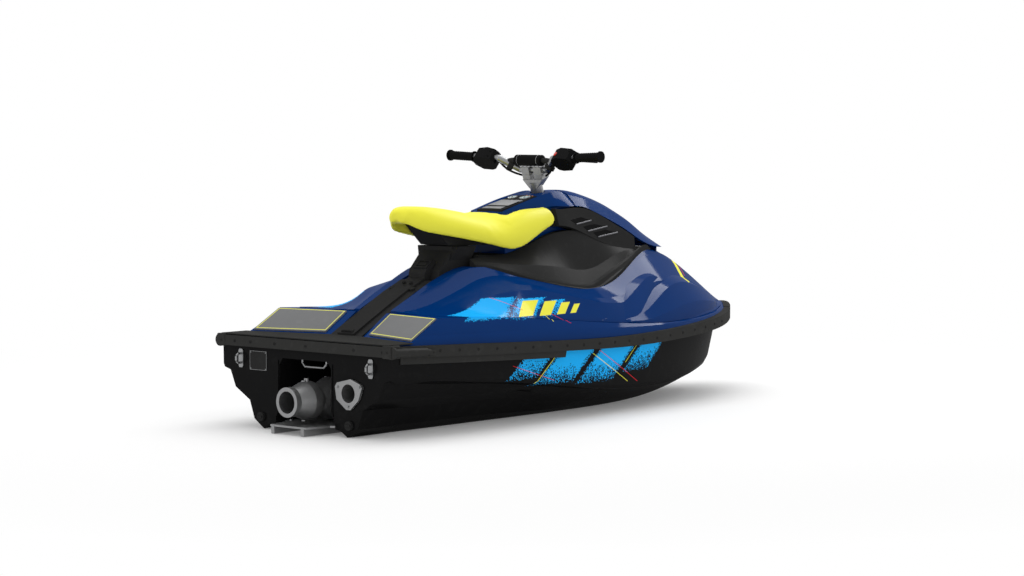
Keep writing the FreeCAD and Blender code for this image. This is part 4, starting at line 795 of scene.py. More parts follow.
    @classmethod
    def twin(cls, source: bpy.types.Object, name: str) -> bpy.types.Object:
        """Copy a CAD solid as a bare mesh of its own, left selected and active."""
        twin = bpy.data.objects.new(name, source.data.copy())
        bpy.context.scene.collection.objects.link(twin)
        twin.data.materials.clear()
        return cls.outward(twin)

    @staticmethod
    def move(obj: bpy.types.Object, matrix: Matrix) -> bpy.types.Object:
        """Move a piece's mesh by a matrix, its object staying at the origin."""
        obj.data.transform(matrix)
        obj.data.update()
        return obj

    @classmethod
    def copies(cls, master: bpy.types.Object, name: str, places: Sequence[Matrix]) -> bpy.types.Object:
        """Copy a master to several places and join the copies into one piece.

        Args:
            master: The piece modelled once, about the origin. It is removed at the end.
            name: Name of the joined piece.
            places: One matrix for each copy.

        Returns:
            The joined piece.
        """
        made: List[bpy.types.Object] = []
        for place in places:
            copy = master.copy()
            copy.data = master.data.copy()
            bpy.context.scene.collection.objects.link(copy)
            cls.move(copy, place)
            made.append(copy)
        bpy.data.objects.remove(master, do_unlink=True)
        return cls.join(made, name)

    @classmethod
    def join(cls, parts: Sequence[bpy.types.Object], name: str) -> bpy.types.Object:
        """Join several meshes into one piece.

        Args:
            parts: The meshes.
            name: Name of the joined piece.

        Returns:
            The joined piece.
        """
        bpy.ops.object.select_all(action="DESELECT")
        for part in parts:
            part.select_set(True)
        bpy.context.view_layer.objects.active = parts[0]
        if len(parts) > 1:
            bpy.ops.object.join()
        piece = bpy.context.view_layer.objects.active
        piece.name = name
        piece.data.name = name
        return piece

    @classmethod
    def tube(cls, name: str, points: Sequence[Vector], radius: float, closed: bool = False,
             order: int = 3) -> bpy.types.Object:
        """Make a round tube along a smooth spline.

        Args:
            name: Name of the piece.
            points: Control points in the row frame, in metres.
            radius: Radius in metres.
            closed: Whether the line is a loop.
            order: Order of the spline.

        Returns:
            The tube as a mesh.
        """
        curve = bpy.data.curves.new(name, "CURVE")
        curve.dimensions = "3D"
        line = curve.splines.new("NURBS")
        line.points.add(len(points) - 1)
        for knot, point in zip(line.points, points):
            knot.co = (*point, 1.0)
        line.order_u = order
        line.use_endpoint_u = not closed
        line.use_cyclic_u = closed
        line.resolution_u = 6
        curve.bevel_depth = radius
        curve.bevel_resolution = 4
        curve.use_fill_caps = True
        obj = bpy.data.objects.new(name, curve)
        bpy.context.scene.collection.objects.link(obj)
        cls.focus(obj)
        bpy.ops.object.convert(target="MESH")
        tube = bpy.context.object
        cls.outward(tube)
        return cls.smooth(tube, 50.0)

    @classmethod
    def screw_master(cls, radius: float, height: float, socket: bool = True) -> bpy.types.Object:
        """Model a domed screw head with a washer edge and a socket, standing on the origin.

        Args:
            radius: Radius of the head in metres.
            height: Height of the head in metres.
            socket: Whether it has a six-sided hollow.

        Returns:
            The head.
        """
        head = cls.disc("screw_master", radius, height * 0.35, 24)
        cls.inset(head, facing_up, radius * 0.16)
        cls.raise_faces(head, up_within(radius * 0.5), (0, 0, height * 0.45), 0.9)
        cls.raise_faces(head, lambda c, n: facing_up(c, n) and c.z > height * 0.7, (0, 0, height * 0.2), 0.72)
        if socket:
            cls.inset(head, lambda c, n: facing_up(c, n) and c.z > height * 0.9, radius * 0.22)
            cls.raise_faces(head, lambda c, n: up_within(radius * 0.1)(c, n) and c.z > height * 0.9,
                            (0, 0, -height * 0.5))
        return cls.smooth(head, 32.0)

    @classmethod
    def hex_master(cls, width: float, height: float, washer: float) -> bpy.types.Object:
        """Model a six-sided bolt head with a chamfer and a washer, standing on the origin.

        Args:
            width: Distance across the flats in metres.
            height: Height with the washer in metres.
            washer: Radius of the washer in metres.

        Returns:
            The head.
        """
        plate = cls.disc("washer", washer, height * 0.25, 28)
        cls.round_edges(plate, height * 0.06, 1)
        head = cls.disc("hex", width / math.sqrt(3.0), height * 0.78, 6)
        cls.inset(head, facing_up, width * 0.07, height * 0.08)
        cls.inset(head, lambda c, n: facing_up(c, n) and c.z > height * 0.8, width * 0.12, -height * 0.06)
        cls.move(head, Matrix.Translation((0, 0, height * 0.2)))
        return cls.join([plate, cls.smooth(head, 20.0)], "hex_master")


def stand(place: Sequence[float], normal: Sequence[float], spin: float = 0.0) -> Matrix:
    """Give the matrix that stands a piece on a place along a normal.

    Args:
        place: Place in the row frame, in metres.
        normal: Direction that the piece's +Z takes.
        spin: Turn about that direction in radians.

    Returns:
        The matrix.
    """
    turn = Vector(normal).normalized().to_track_quat("Z", "Y").to_matrix().to_4x4()
    return Matrix.Translation(place) @ turn @ Matrix.Rotation(spin, 4, "Z")


def framed(origin: Sequence[float], x_way: Sequence[float], z_way: Sequence[float]) -> Matrix:
    """Give the matrix of a frame from its origin, x and z directions.

    Args:
        origin: Origin in the row frame, in metres.
        x_way: Direction of its x axis.
        z_way: Direction of its z axis.

    Returns:
        The matrix.
    """
    across = Vector(x_way).normalized()
    up = Vector(z_way).normalized()
    side = up.cross(across).normalized()
    across = side.cross(up)
    turn = Matrix((across, side, up)).transposed().to_4x4()
    return Matrix.Translation(origin) @ turn


@dataclass
class Outfitter:
    """Gives a finished piece its finish and its body, and finds places on the CAD solids.

    Args:
        shop: Hands out the materials.
        nodes: The CAD solids by name.
    """

    shop: FinishShop
    nodes: Dict[str, bpy.types.Object]

    def fit(self, piece: bpy.types.Object, finish: Finish, body: Body,
            slot: Optional[str] = None) -> bpy.types.Object:
        """Dress a piece and let it ride on its body.

        Args:
            piece: The piece, its place in its mesh.
            finish: Its finish.
            body: The body that it moves with.
            slot: The record's slot, if not the finish's own name; not used.

        Returns:
            The same piece.
        """
        dress(piece, self.shop.get(finish))
        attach(piece, body.value)
        log.info("built %s, %d faces", piece.name, len(piece.data.polygons))
        return piece

    def touch(self, node: str, start: Sequence[float], way: Sequence[float]) -> Tuple[Vector, Vector]:
        """Find where a ray meets a CAD solid.

        Args:
            node: Name of the CAD node.
            start: Start of the ray in the row frame, in metres.
            way: Direction of the ray.

        Returns:
            The place and the surface's normal there, turned against the ray.
        """
        hit, place, normal, _face = self.nodes[node].ray_cast(Vector(start), Vector(way).normalized())
        if not hit:
            raise ValueError("no surface of %s along %s from %s" % (node, tuple(way), tuple(start)))
        if normal.dot(Vector(way)) > 0:
            normal = -normal
        return place, normal


@dataclass
class SeatPad:
    """The saddle's cushion, swelled from its CAD solid as foam under tight vinyl.

    Args:
        shop: Hands out the materials.
        nodes: The CAD solids by name.
        voxel: Edge of the even mesh in metres.
        shrink: How far the pad is drawn in before it swells, in metres.
        pressure: Pressure of the cloth.
        frames: How many frames the cloth runs.
        stiffness: Tension and compression stiffness of the vinyl.
        cap: Greatest move of a point in metres.
        tail: Centre of the core that fills the tail, in millimetres.
        tail_sizes: Lengths of that core in millimetres.
        tail_round: Radius of its edges in millimetres.
    """

    shop: FinishShop
    nodes: Dict[str, bpy.types.Object]
    voxel: float = 0.0055
    shrink: float = 0.0022
    pressure: float = 4.0
    frames: int = 20
    stiffness: float = 25.0
    cap: float = 0.0034
    tail: Point = (523.0, 0.0, 757.0)
    tail_sizes: Point = (78.0, 100.0, 40.0)
    tail_round: float = 14.0

    def build(self) -> None:
        pad = self._copy()
        start = [vertex.co.copy() for vertex in pad.data.vertices]
        self._swell(pad, start)
        self._finish(pad)
        dress(pad, self.shop.get(Finish.SEAT_VINYL))
        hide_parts("seat_cushion")
        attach(pad, Body.SEAT.value)
        log.info("built %s, %d faces", pad.name, len(pad.data.polygons))

    def _copy(self) -> bpy.types.Object:
        """Copy the solid, draw it in a little and remesh it evenly.

        Returns:
            The even mesh.
        """
        pad = Bench.twin(self.nodes["seat_cushion"], "seat_pad")
        tail = Bench.block("tail_core", at(*self.tail), span(*self.tail_sizes))
        Bench.round_edges(tail, mm(self.tail_round), 3)
        pad = Bench.join([pad, tail], "seat_pad")
        remesh = pad.modifiers.new("voxels", "REMESH")
        remesh.mode = "VOXEL"
        remesh.voxel_size = self.voxel
        bpy.ops.object.modifier_apply(modifier="voxels")
        bpy.ops.object.mode_set(mode="EDIT")
        bpy.ops.mesh.select_all(action="SELECT")
        bpy.ops.mesh.normals_make_consistent(inside=False)
        bpy.ops.transform.shrink_fatten(value=-self.shrink)
        bpy.ops.mesh.vertices_smooth(factor=0.5, repeat=4)
        bpy.ops.object.mode_set(mode="OBJECT")
        return pad

    def _swell(self, pad: bpy.types.Object, start: List[Vector]) -> None:
        """Blow the pad up with cloth and hold every point near its start.

        Args:
            pad: The even mesh.
            start: Places of its points before.
        """
        Bench.focus(pad)
        cloth = pad.modifiers.new("vinyl", "CLOTH")
        settings = cloth.settings
        settings.use_pressure = True
        settings.uniform_pressure_force = self.pressure
        settings.effector_weights.gravity = 0.0
        settings.quality = 5
        settings.tension_stiffness = self.stiffness
        settings.compression_stiffness = self.stiffness
        cloth.collision_settings.use_self_collision = False
        scene = bpy.context.scene
        for frame in range(1, self.frames + 1):
            scene.frame_set(frame)
        Bench.focus(pad)
        bpy.ops.object.modifier_apply(modifier="vinyl")
        scene.frame_set(1)
        for vertex, before in zip(pad.data.vertices, start):
            step = vertex.co - before
            if step.length > self.cap:
                vertex.co = before + step.normalized() * self.cap
        pad.data.update()

    def _finish(self, pad: bpy.types.Object) -> None:
        """Relax the skin and subdivide it once.

        Args:
            pad: The swelled mesh.
        """
        Bench.focus(pad)
        bpy.ops.object.mode_set(mode="EDIT")
        bpy.ops.mesh.select_all(action="SELECT")
        bpy.ops.mesh.vertices_smooth(factor=0.5, repeat=6)
        bpy.ops.object.mode_set(mode="OBJECT")
        finer = pad.modifiers.new("finer", "SUBSURF")
        finer.levels = 1
        finer.render_levels = 1
        bpy.ops.object.modifier_apply(modifier="finer")
        bpy.ops.object.shade_smooth()


@dataclass
class RailTrim(Outfitter):
    """Fasteners, corner caps, tubes and nose cap of the rub rail, in millimetres.

    Args:
        pitch: Distance between two side bolts.
        first: Place of the side's first bolt.
        last: Greatest place of its last bolt.
        middle: The rail's middle line as (x, z) places.
        aft_bolts: Places of the aft bolts across the craft.
        aft_height: Height of the aft bolts.
        bolt: Radius of a bolt's head.
        bolt_sink: How deep a bolt's head sits.
        side_bolt_rise: Height of a side bolt's head.
        aft_bolt_rise: Height of an aft bolt's head.
        cap: Centre of the port corner's cap.
        cap_sizes: Lengths of that cap.
        tube_radius: Radius of the bumper tube.
        tube_line: Middle line of the port tube.
        tip_line: Middle line of its thinner tip.
        tip_share: The tip's share of the tube's radius.
        collar: Radius and length of the tube's collar.
        tab: Centre of the port tube's end tab.
        tab_sizes: Lengths of that tab.
        nose_cut: Where the nose cap begins.
        nose_middle: Point about which the cap is made thicker.
        nose_swell: How much higher than the rail the cap is.
    """

    pitch: float = 97.0
    first: float = 245.0
    last: float = 2130.0
    middle: Tuple[Tuple[float, float], ...] = ((0, 316), (400, 302), (1000, 280), (1500, 273), (2100, 301),
                                               (2490, 328))
    aft_bolts: Tuple[float, ...] = (-404.0, -262.0, -20.0, 140.0, 268.0, 352.0, 420.0)
    aft_height: float = 314.0
    bolt: float = 6.2
    bolt_sink: float = 0.8
    side_bolt_rise: float = 2.6
    aft_bolt_rise: float = 3.0
    cap: Point = (22.0, 425.0, 315.0)
    cap_sizes: Point = (50.0, 42.0, 46.0)
    tube_radius: float = 17.0
    tube_line: Tuple[Point, ...] = ((14, 440, 312), (50, 442, 311), (100, 444, 310), (150, 445, 308),
                                    (176, 445, 307))
    tip_line: Tuple[Point, ...] = ((172, 445, 307), (184, 445, 306.6), (196, 446, 306))
    tip_share: float = 0.72
    collar: Tuple[float, float] = (23.5, 11.0)
    tab: Point = (200.0, 452.0, 304.0)
    tab_sizes: Point = (34.0, 7.0, 20.0)
    nose_cut: Point = (2330.0, 0.0, 300.0)
    nose_middle: Point = (2410.0, 0.0, 322.0)
    nose_swell: float = 1.085

    def build(self) -> None:
        """Build every piece of the rail."""
        self._side_bolts()
        self._aft_bolts()
        self._corner_caps()
        self._tubes()
        self._nose_cap()

    def _height(self, x: float) -> float:
        """Find the height of the rail's middle.

        Args:
            x: Place along the craft in millimetres.

        Returns:
            The height in millimetres.
        """
        for (x1, z1), (x2, z2) in zip(self.middle, self.middle[1:]):
            if x1 <= x <= x2:
                return z1 + (z2 - z1) * (x - x1) / (x2 - x1)
        return self.middle[-1][1]

    def _side_bolts(self) -> None:
        """Set the low bolt heads along both sides."""
        places = []
        x = self.first
        while x <= self.last:
            for side in SIDES:
                place, normal = self.touch("rub_rail", at(x, 600 * side, self._height(x)), (0, -side, 0))
                places.append(stand(place - normal * mm(self.bolt_sink), normal, x))
            x += self.pitch
        head = Bench.screw_master(mm(self.bolt), mm(self.side_bolt_rise))
        self.fit(Bench.copies(head, "rail_side_bolts", places), Finish.TRIM_PLASTIC, Body.HULL)

    def _aft_bolts(self) -> None:
        """Set the bolt heads along the aft face."""
        places = []
        for y in self.aft_bolts:
            place, normal = self.touch("rub_rail", at(-100, y, self.aft_height), (1, 0, 0))
            places.append(stand(place - normal * mm(self.bolt_sink), normal, y))
        head = Bench.screw_master(mm(self.bolt), mm(self.aft_bolt_rise))
        self.fit(Bench.copies(head, "rail_aft_bolts", places), Finish.TRIM_PLASTIC, Body.HULL)

    def _corner_caps(self) -> None:
        """Wrap both aft corners of the rail in a moulded cap with its screw."""
        x, y, z = self.cap
        caps = []
        for side in SIDES:
            cap = Bench.block("cap", at(x, y * side, z), span(*self.cap_sizes))
            Bench.inset(cap, lambda c, n: n.x < -FACING, mm(6), mm(-1.2))
            Bench.inset(cap, lambda c, n, s=side: n.y * s > FACING, mm(6), mm(-1.0))
            Bench.round_edges(cap, mm(3.5), 3)
            screw = Bench.screw_master(mm(5.0), mm(3.0))
            Bench.move(screw, stand(at(-1.2, (y + 1) * side, z - 1), (-1, 0, 0)))
            caps += [cap, screw]
        self.fit(Bench.join(caps, "rail_corner_caps"), Finish.RAIL_RUBBER, Body.HULL)

    def _tubes(self) -> None:
        """Lay a bumper tube with its collar and end tab along each aft quarter."""
        tab_x, tab_y, tab_z = self.tab
        radius, length = self.collar
        parts = []
        for side in SIDES:
            line = [at(x, y * side, z) for x, y, z in self.tube_line]
            parts.append(Bench.tube("tube", line, mm(self.tube_radius)))
            line = [at(x, y * side, z) for x, y, z in self.tip_line]
            parts.append(Bench.tube("tip", line, mm(self.tube_radius * self.tip_share)))
            collar = Bench.disc("collar", mm(radius), mm(length), 40)
            Bench.inset(collar, lambda c, n: abs(n.z) > FACING, mm(4), mm(1.5))
            Bench.round_edges(collar, mm(2.2), 3)
            Bench.move(collar, stand(at(4, 439 * side, 313), (1, 0, 0)))
            tab = Bench.block("tab", at(tab_x, tab_y * side, tab_z), span(*self.tab_sizes))
            Bench.inset(tab, lambda c, n, s=side: n.y * s > FACING, mm(3), mm(0.8))
            Bench.round_edges(tab, mm(2.2), 2)
            screw = Bench.screw_master(mm(4.6), mm(2.6))
            Bench.move(screw, stand(at(tab_x + 6, (tab_y + 3.8) * side, tab_z), (0, side, 0)))
            parts += [collar, tab, screw]
        self.fit(Bench.join(parts, "rail_quarter_tubes"), Finish.RAIL_RUBBER, Body.HULL)

    def _nose_cap(self) -> None:
        """Wrap the rail's nose in its thicker cap by copying and fattening the rail's own end."""
        cap = Bench.twin(self.nodes["rub_rail"], "rail_nose_cap")
        bpy.ops.object.mode_set(mode="EDIT")
        bpy.ops.mesh.select_all(action="SELECT")
        bpy.ops.mesh.bisect(plane_co=at(*self.nose_cut), plane_no=(1, 0, 0.06), clear_inner=True, use_fill=True)
        bpy.ops.mesh.select_all(action="SELECT")
        bpy.ops.transform.resize(value=(1.0, 1.0, self.nose_swell), center_override=at(*self.nose_middle))
        bpy.ops.object.mode_set(mode="OBJECT")
        Bench.outward(cap)
        Bench.round_edges(cap, mm(2.0), 2, 50)
        self.fit(cap, Finish.RAIL_RUBBER, Body.HULL)


@dataclass
class TransomTrim(Outfitter):
    """Blank plate, flange bolts and tunnel edges of the transom, in millimetres.

    Args:
        face_x: Place of the transom's face.
        plate: Left, right, lower and upper edge of the blank plate.
        rivet_in: Distance of its rivets from its edges.
        rim: Width of its raised rim.
        flange_bolts: (y, z) places of the exhaust flange's bolts.
        strip_y: Place of the tunnel's edge strip across the craft.
        strip_z: Height of that strip's middle.
        strip_sizes: Lengths of that strip.
    """

    face_x: float = 15.7
    plate: Tuple[float, float, float, float] = (198.0, 288.0, 211.0, 282.0)
    rivet_in: float = 6.0
    rim: float = 1.2
    flange_bolts: Tuple[Tuple[float, float], ...] = ((-176.0, 180.0), (-284.0, 184.0), (-228.0, 112.0))
    strip_y: float = 139.0
    strip_z: float = 170.0
    strip_sizes: Point = (4.0, 6.0, 170.0)

    def build(self) -> None:
        """Build every piece of the transom."""
        self._blank_plate()
        self._flange_bolts()
        self._tunnel_edge()

    def _blank_plate(self) -> None:
        """Fix a plain plate with a raised border and four rivets."""
        y1, y2, z1, z2 = self.plate
        x = self.face_x
        y = (y1 + y2) / 2
        z = (z1 + z2) / 2
        plate = Bench.block("blank_plate", at(x - 0.4, y, z), span(1.8, y2 - y1, z2 - z1))
        Bench.inset(plate, lambda c, n: n.x < -FACING, mm(2.2), mm(-0.5))
        Bench.round_edges(plate, mm(0.5), 2)
        self.fit(plate, Finish.TRIM_PLASTIC, Body.HULL)
        rivet = Bench.screw_master(mm(2.4), mm(1.4), False)
        places = [stand(at(x - 1.0, across, up), (-1, 0, 0))
                  for across in (y1 + self.rivet_in, y2 - self.rivet_in)
                  for up in (z1 + self.rivet_in, z2 - self.rivet_in)]
        self.fit(Bench.copies(rivet, "plate_rivets", places), Finish.STEEL, Body.HULL)
        rim = Bench.block("plate_rim", at(x - 1.3, y, z), span(0.8, y2 - y1 - 2, z2 - z1 - 2))
        Bench.hollow(rim, lambda c, n: abs(n.x) > FACING, mm(self.rim))
        Bench.round_edges(rim, mm(0.2), 1)
        self.fit(rim, Finish.STEEL, Body.HULL)

    def _flange_bolts(self) -> None:
        """Bolt the exhaust flange through its three ears."""
        places = []
        for y, z in self.flange_bolts:
            place, normal = self.touch("exhaust_outlet", at(-60, y, z), (1, 0, 0))
            places.append(stand(place, normal, y))
        bolts = Bench.copies(Bench.hex_master(mm(7), mm(3.6), mm(6.2)), "exhaust_bolts", places)
        self.fit(bolts, Finish.STEEL, Body.HULL)

    def _tunnel_edge(self) -> None:
        """Run the thin raised flange down both sides of the pump tunnel's mouth."""
        strips = []
        for side in SIDES:
            strip = Bench.block("strip", at(self.face_x - 1.1, self.strip_y * side, self.strip_z),
                                span(*self.strip_sizes))
            Bench.raise_faces(strip, lambda c, n: n.z < -FACING, (0, mm(4 * side), mm(-16)), 0.9)
            Bench.inset(strip, lambda c, n: n.x < -FACING and abs(n.z) < 0.2, mm(1.4), mm(0.5))
            Bench.round_edges(strip, mm(0.8), 2)
            strips.append(strip)
        self.fit(Bench.join(strips, "tunnel_mouth_edges"), Finish.GELCOAT_BLACK, Body.HULL)


@dataclass
class PumpTrim(Outfitter):
    """Bolts and cable guide of the water jet, in millimetres.

    Args:
        pump_z: Height of the pump's axis.
        pivot_x: Place of the nozzle's pivot bolts.
        flange_x: Place of the pump's flange.
        flange_bolts: How many bolts the flange has.
        guide: Centre of the steering cable's guide.
        guide_sizes: Its lengths.
        plate_bolts: Places of the ride plate's bolts along the craft.
        plate_bolt_y: Their distance from the centreline.
    """

    pump_z: float = 117.0
    pivot_x: float = 8.0
    flange_x: float = 150.0
    flange_bolts: int = 8
    guide: Point = (60.0, -112.0, 140.0)
    guide_sizes: Point = (40.0, 12.0, 26.0)
    plate_bolts: Tuple[float, ...] = (60, 160, 260, 360)
    plate_bolt_y: float = 118.0

    def build(self) -> None:
        """Build every piece round the pump and its nozzle."""
        self._nozzle_pivots()
        self._flange_ring()
        self._cable_guide()
        self._plate_row()

    def _nozzle_pivots(self) -> None:
        """Set the nozzle's two pivot bolts."""
        pivots = []
        for way in SIDES:
            place, _ = self.touch("jet_nozzle", at(self.pivot_x, 0, self.pump_z + 200 * way), (0, 0, -way))
            pivots.append(stand(place, (0, 0, way)))
        bolts = Bench.copies(Bench.hex_master(mm(12), mm(5), mm(9)), "nozzle_pivot_bolts", pivots)
        self.fit(bolts, Finish.STEEL, Body.NOZZLE)

    def _flange_ring(self) -> None:
        """Ring the pump's flange with bolts."""
        places = []
        for index in range(self.flange_bolts):
            turn = math.tau * (index + 0.5) / self.flange_bolts
            way = Vector((0, math.cos(turn), math.sin(turn)))
            place, _ = self.touch("pump_housing", at(self.flange_x, 0, self.pump_z) + way * 0.2, -way)
            places.append(stand(place, way, turn))
        bolts = Bench.copies(Bench.hex_master(mm(8), mm(4.5), mm(6.5)), "pump_flange_bolts", places)
        self.fit(bolts, Finish.STEEL, Body.HULL)

    def _cable_guide(self) -> None:
        """Fix the steering cable's guide beside the pump."""
        bracket = Bench.block("cable_guide", at(*self.guide), span(*self.guide_sizes))
        Bench.raise_faces(bracket, lambda c, n: n.y < -FACING, (0, mm(-16), 0), 0.75)
        Bench.inset(bracket, lambda c, n: n.x < -FACING, mm(3), mm(-2))
        Bench.round_edges(bracket, mm(2), 2)
        self.fit(bracket, Finish.TRIM_PLASTIC, Body.HULL)

    def _plate_row(self) -> None:
        """Bolt the ride plate down along both edges."""
        places = []
        for x in self.plate_bolts:
            for side in SIDES:
                place, _ = self.touch("ride_plate", at(x, self.plate_bolt_y * side, 70), (0, 0, -1))
                places.append(stand(place, (0, 0, 1), x))
        bolts = Bench.copies(Bench.hex_master(mm(10), mm(5), mm(8.5)), "ride_plate_bolts", places)
        self.fit(bolts, Finish.STEEL, Body.HULL)


@dataclass
class GaugeTrim(Outfitter):
    """Dials, indicators and the blank placard of the instrument panel, in millimetres.

    Args:
        tilt: Slope of the panel in radians.
        dials: Place along the craft, place across it and radius of each dial.
        rim: Width of a dial's bezel.
        first_tick: Turn of the first tick in degrees.
        tick_step: Turn from tick to tick in degrees.
        ticks: How many ticks a dial has.
        needle_turn: Turn of the needles in degrees.
        cards: Place, length and width of each blank card.
        card_screws: (x, y) places of the large card's screws.
        lamps: (x, y) places of the indicator lamps.
        buttons: (x, y) places of the push buttons.
    """

    tilt: float = math.atan(0.226)
    dials: Tuple[Point, ...] = ((1172.0, -32.0, 22.0), (1170.0, 30.0, 20.0))
    rim: float = 3.6
    first_tick: float = -210.0
    tick_step: float = 24.0
    ticks: int = 11
    needle_turn: float = 200.0
    cards: Tuple[Tuple[float, float, float, float], ...] = (
        (1092, 0, 84, 104), (1026, 0, 30, 96), (1128, -40, 20, 30))
    card_screws: Tuple[Tuple[float, float], ...] = ((1056, -45), (1056, 45), (1128, -45), (1128, 45))
    lamps: Tuple[Tuple[float, float], ...] = ((1203, -44), (1203, -30), (1203, -16))
    buttons: Tuple[Tuple[float, float], ...] = ((1145, 0), (1145, 14))

    def build(self) -> None:
        """Build every piece of the panel."""
        self._dials()
        self._needles()
        self._placard()
        self._lamps()

    def _frame(self, x: float, y: float, lift: float = 0.0) -> Matrix:
        """Give the frame of a place on the panel.

        Args:
            x: Place along the craft in millimetres.
            y: Place across it in millimetres.
            lift: Height above the panel in millimetres.

        Returns:
            Its matrix, +Z along the panel's normal.
        """
        place, _ = self.touch("gauge_panel", at(x, y, 900), (0, 0, -1))
        up = Vector((-math.sin(self.tilt), 0, math.cos(self.tilt)))
        return framed(place + up * mm(lift), (math.cos(self.tilt), 0, math.sin(self.tilt)), up)

    def _dials(self) -> None:
        """Set the two round instruments with their bezels and faces."""
        bezels = []
        faces = []
        for x, y, radius in self.dials:
            bezel = Bench.disc("bezel", mm(radius), mm(4.6), 48)
            Bench.inset(bezel, facing_up, mm(2.6), mm(0.6))
            Bench.inset(bezel, up_within(mm(radius * 0.5)), mm(1.2), mm(-2.4))
            Bench.round_edges(bezel, mm(0.6), 2)
            bezels.append(Bench.move(bezel, self._frame(x, y, -1.0)))
            face = Bench.disc("face", mm(radius - self.rim), mm(2.4), 48)
            Bench.inset(face, facing_up, mm(1.5), mm(0.3))
            faces.append(Bench.move(Bench.smooth(face), self._frame(x, y, 0.6)))
        self.fit(Bench.join(bezels, "dial_bezels"), Finish.STEEL, Body.HULL)
        self.fit(Bench.join(faces, "dial_faces"), Finish.DIAL_FACE, Body.HULL)

    def _needles(self) -> None:
        """Add the graduation ticks and the needles."""
        parts = []
        for x, y, radius in self.dials:
            frame = self._frame(x, y, 3.0)
            for index in range(self.ticks):
                turn = math.radians(self.first_tick + self.tick_step * index)
                length = 3.2 if index % 5 == 0 else 2.0
                tick = Bench.block("tick", (mm(radius - 6.5), 0, 0), span(length, 0.9, 0.6))
                Bench.round_edges(tick, mm(0.15), 1)
                parts.append(Bench.move(tick, frame @ Matrix.Rotation(turn, 4, "Z")))
            needle = Bench.block("needle", span(5, 0, 0.5), span(15, 1.6, 0.8))
            Bench.raise_faces(needle, lambda c, n: n.x > FACING, (mm(4), 0, 0), 0.3)
            Bench.round_edges(needle, mm(0.2), 1)
            turn = math.radians(self.needle_turn)
            parts.append(Bench.move(needle, frame @ Matrix.Rotation(turn, 4, "Z")))
            hub = Bench.disc("hub", mm(2.6), mm(1.6), 24)
            Bench.inset(hub, facing_up, mm(0.6), mm(0.4))
            parts.append(Bench.move(Bench.smooth(hub), frame))
        self.fit(Bench.join(parts, "dial_needles"), Finish.TRIM_PLASTIC, Body.HULL)

    def _placard(self) -> None:
        """Lay the blank placard and the small blank strips aft of the dials."""
        parts = []
        for x, y, length, width in self.cards:
            card = Bench.block("card", span(0, 0, 0.4), span(length, width, 1.4))
            Bench.inset(card, facing_up, mm(2.4), mm(0.5))
            Bench.inset(card, up_within(mm(4)), mm(2.0), mm(-0.4))
            Bench.round_edges(card, mm(0.3), 2)
            parts.append(Bench.move(card, self._frame(x, y)))
        self.fit(Bench.join(parts, "blank_placards"), Finish.CAST_ALUMINIUM, Body.HULL)
        screw = Bench.screw_master(mm(3.0), mm(2.0))
        places = [self._frame(x, y, 1.0) for x, y in self.card_screws]
        self.fit(Bench.copies(screw, "placard_screws", places), Finish.TRIM_PLASTIC, Body.HULL)

    def _lamps(self) -> None:
        """Set the row of small indicator lamps and the two push buttons."""
        lamp = Bench.disc("lamp", mm(3.2), mm(1.8), 24)
        Bench.inset(lamp, facing_up, mm(0.8), mm(0.6))
        Bench.inset(lamp, up_within(mm(1)), mm(0.8), mm(0.3))
        places = [self._frame(x, y, 0.2) for x, y in self.lamps]
        self.fit(Bench.copies(Bench.smooth(lamp), "indicator_lamps", places), Finish.LAMP_LENS, Body.HULL,
                 "trim_plastic")
        button = Bench.disc("button", mm(5.0), mm(3.0), 28)
        Bench.inset(button, facing_up, mm(1.2), mm(-0.8))
        Bench.round_edges(button, mm(0.5), 2)
        places = [self._frame(x, y) for x, y in self.buttons]
        self.fit(Bench.copies(button, "panel_buttons", places), Finish.TRIM_PLASTIC, Body.HULL)


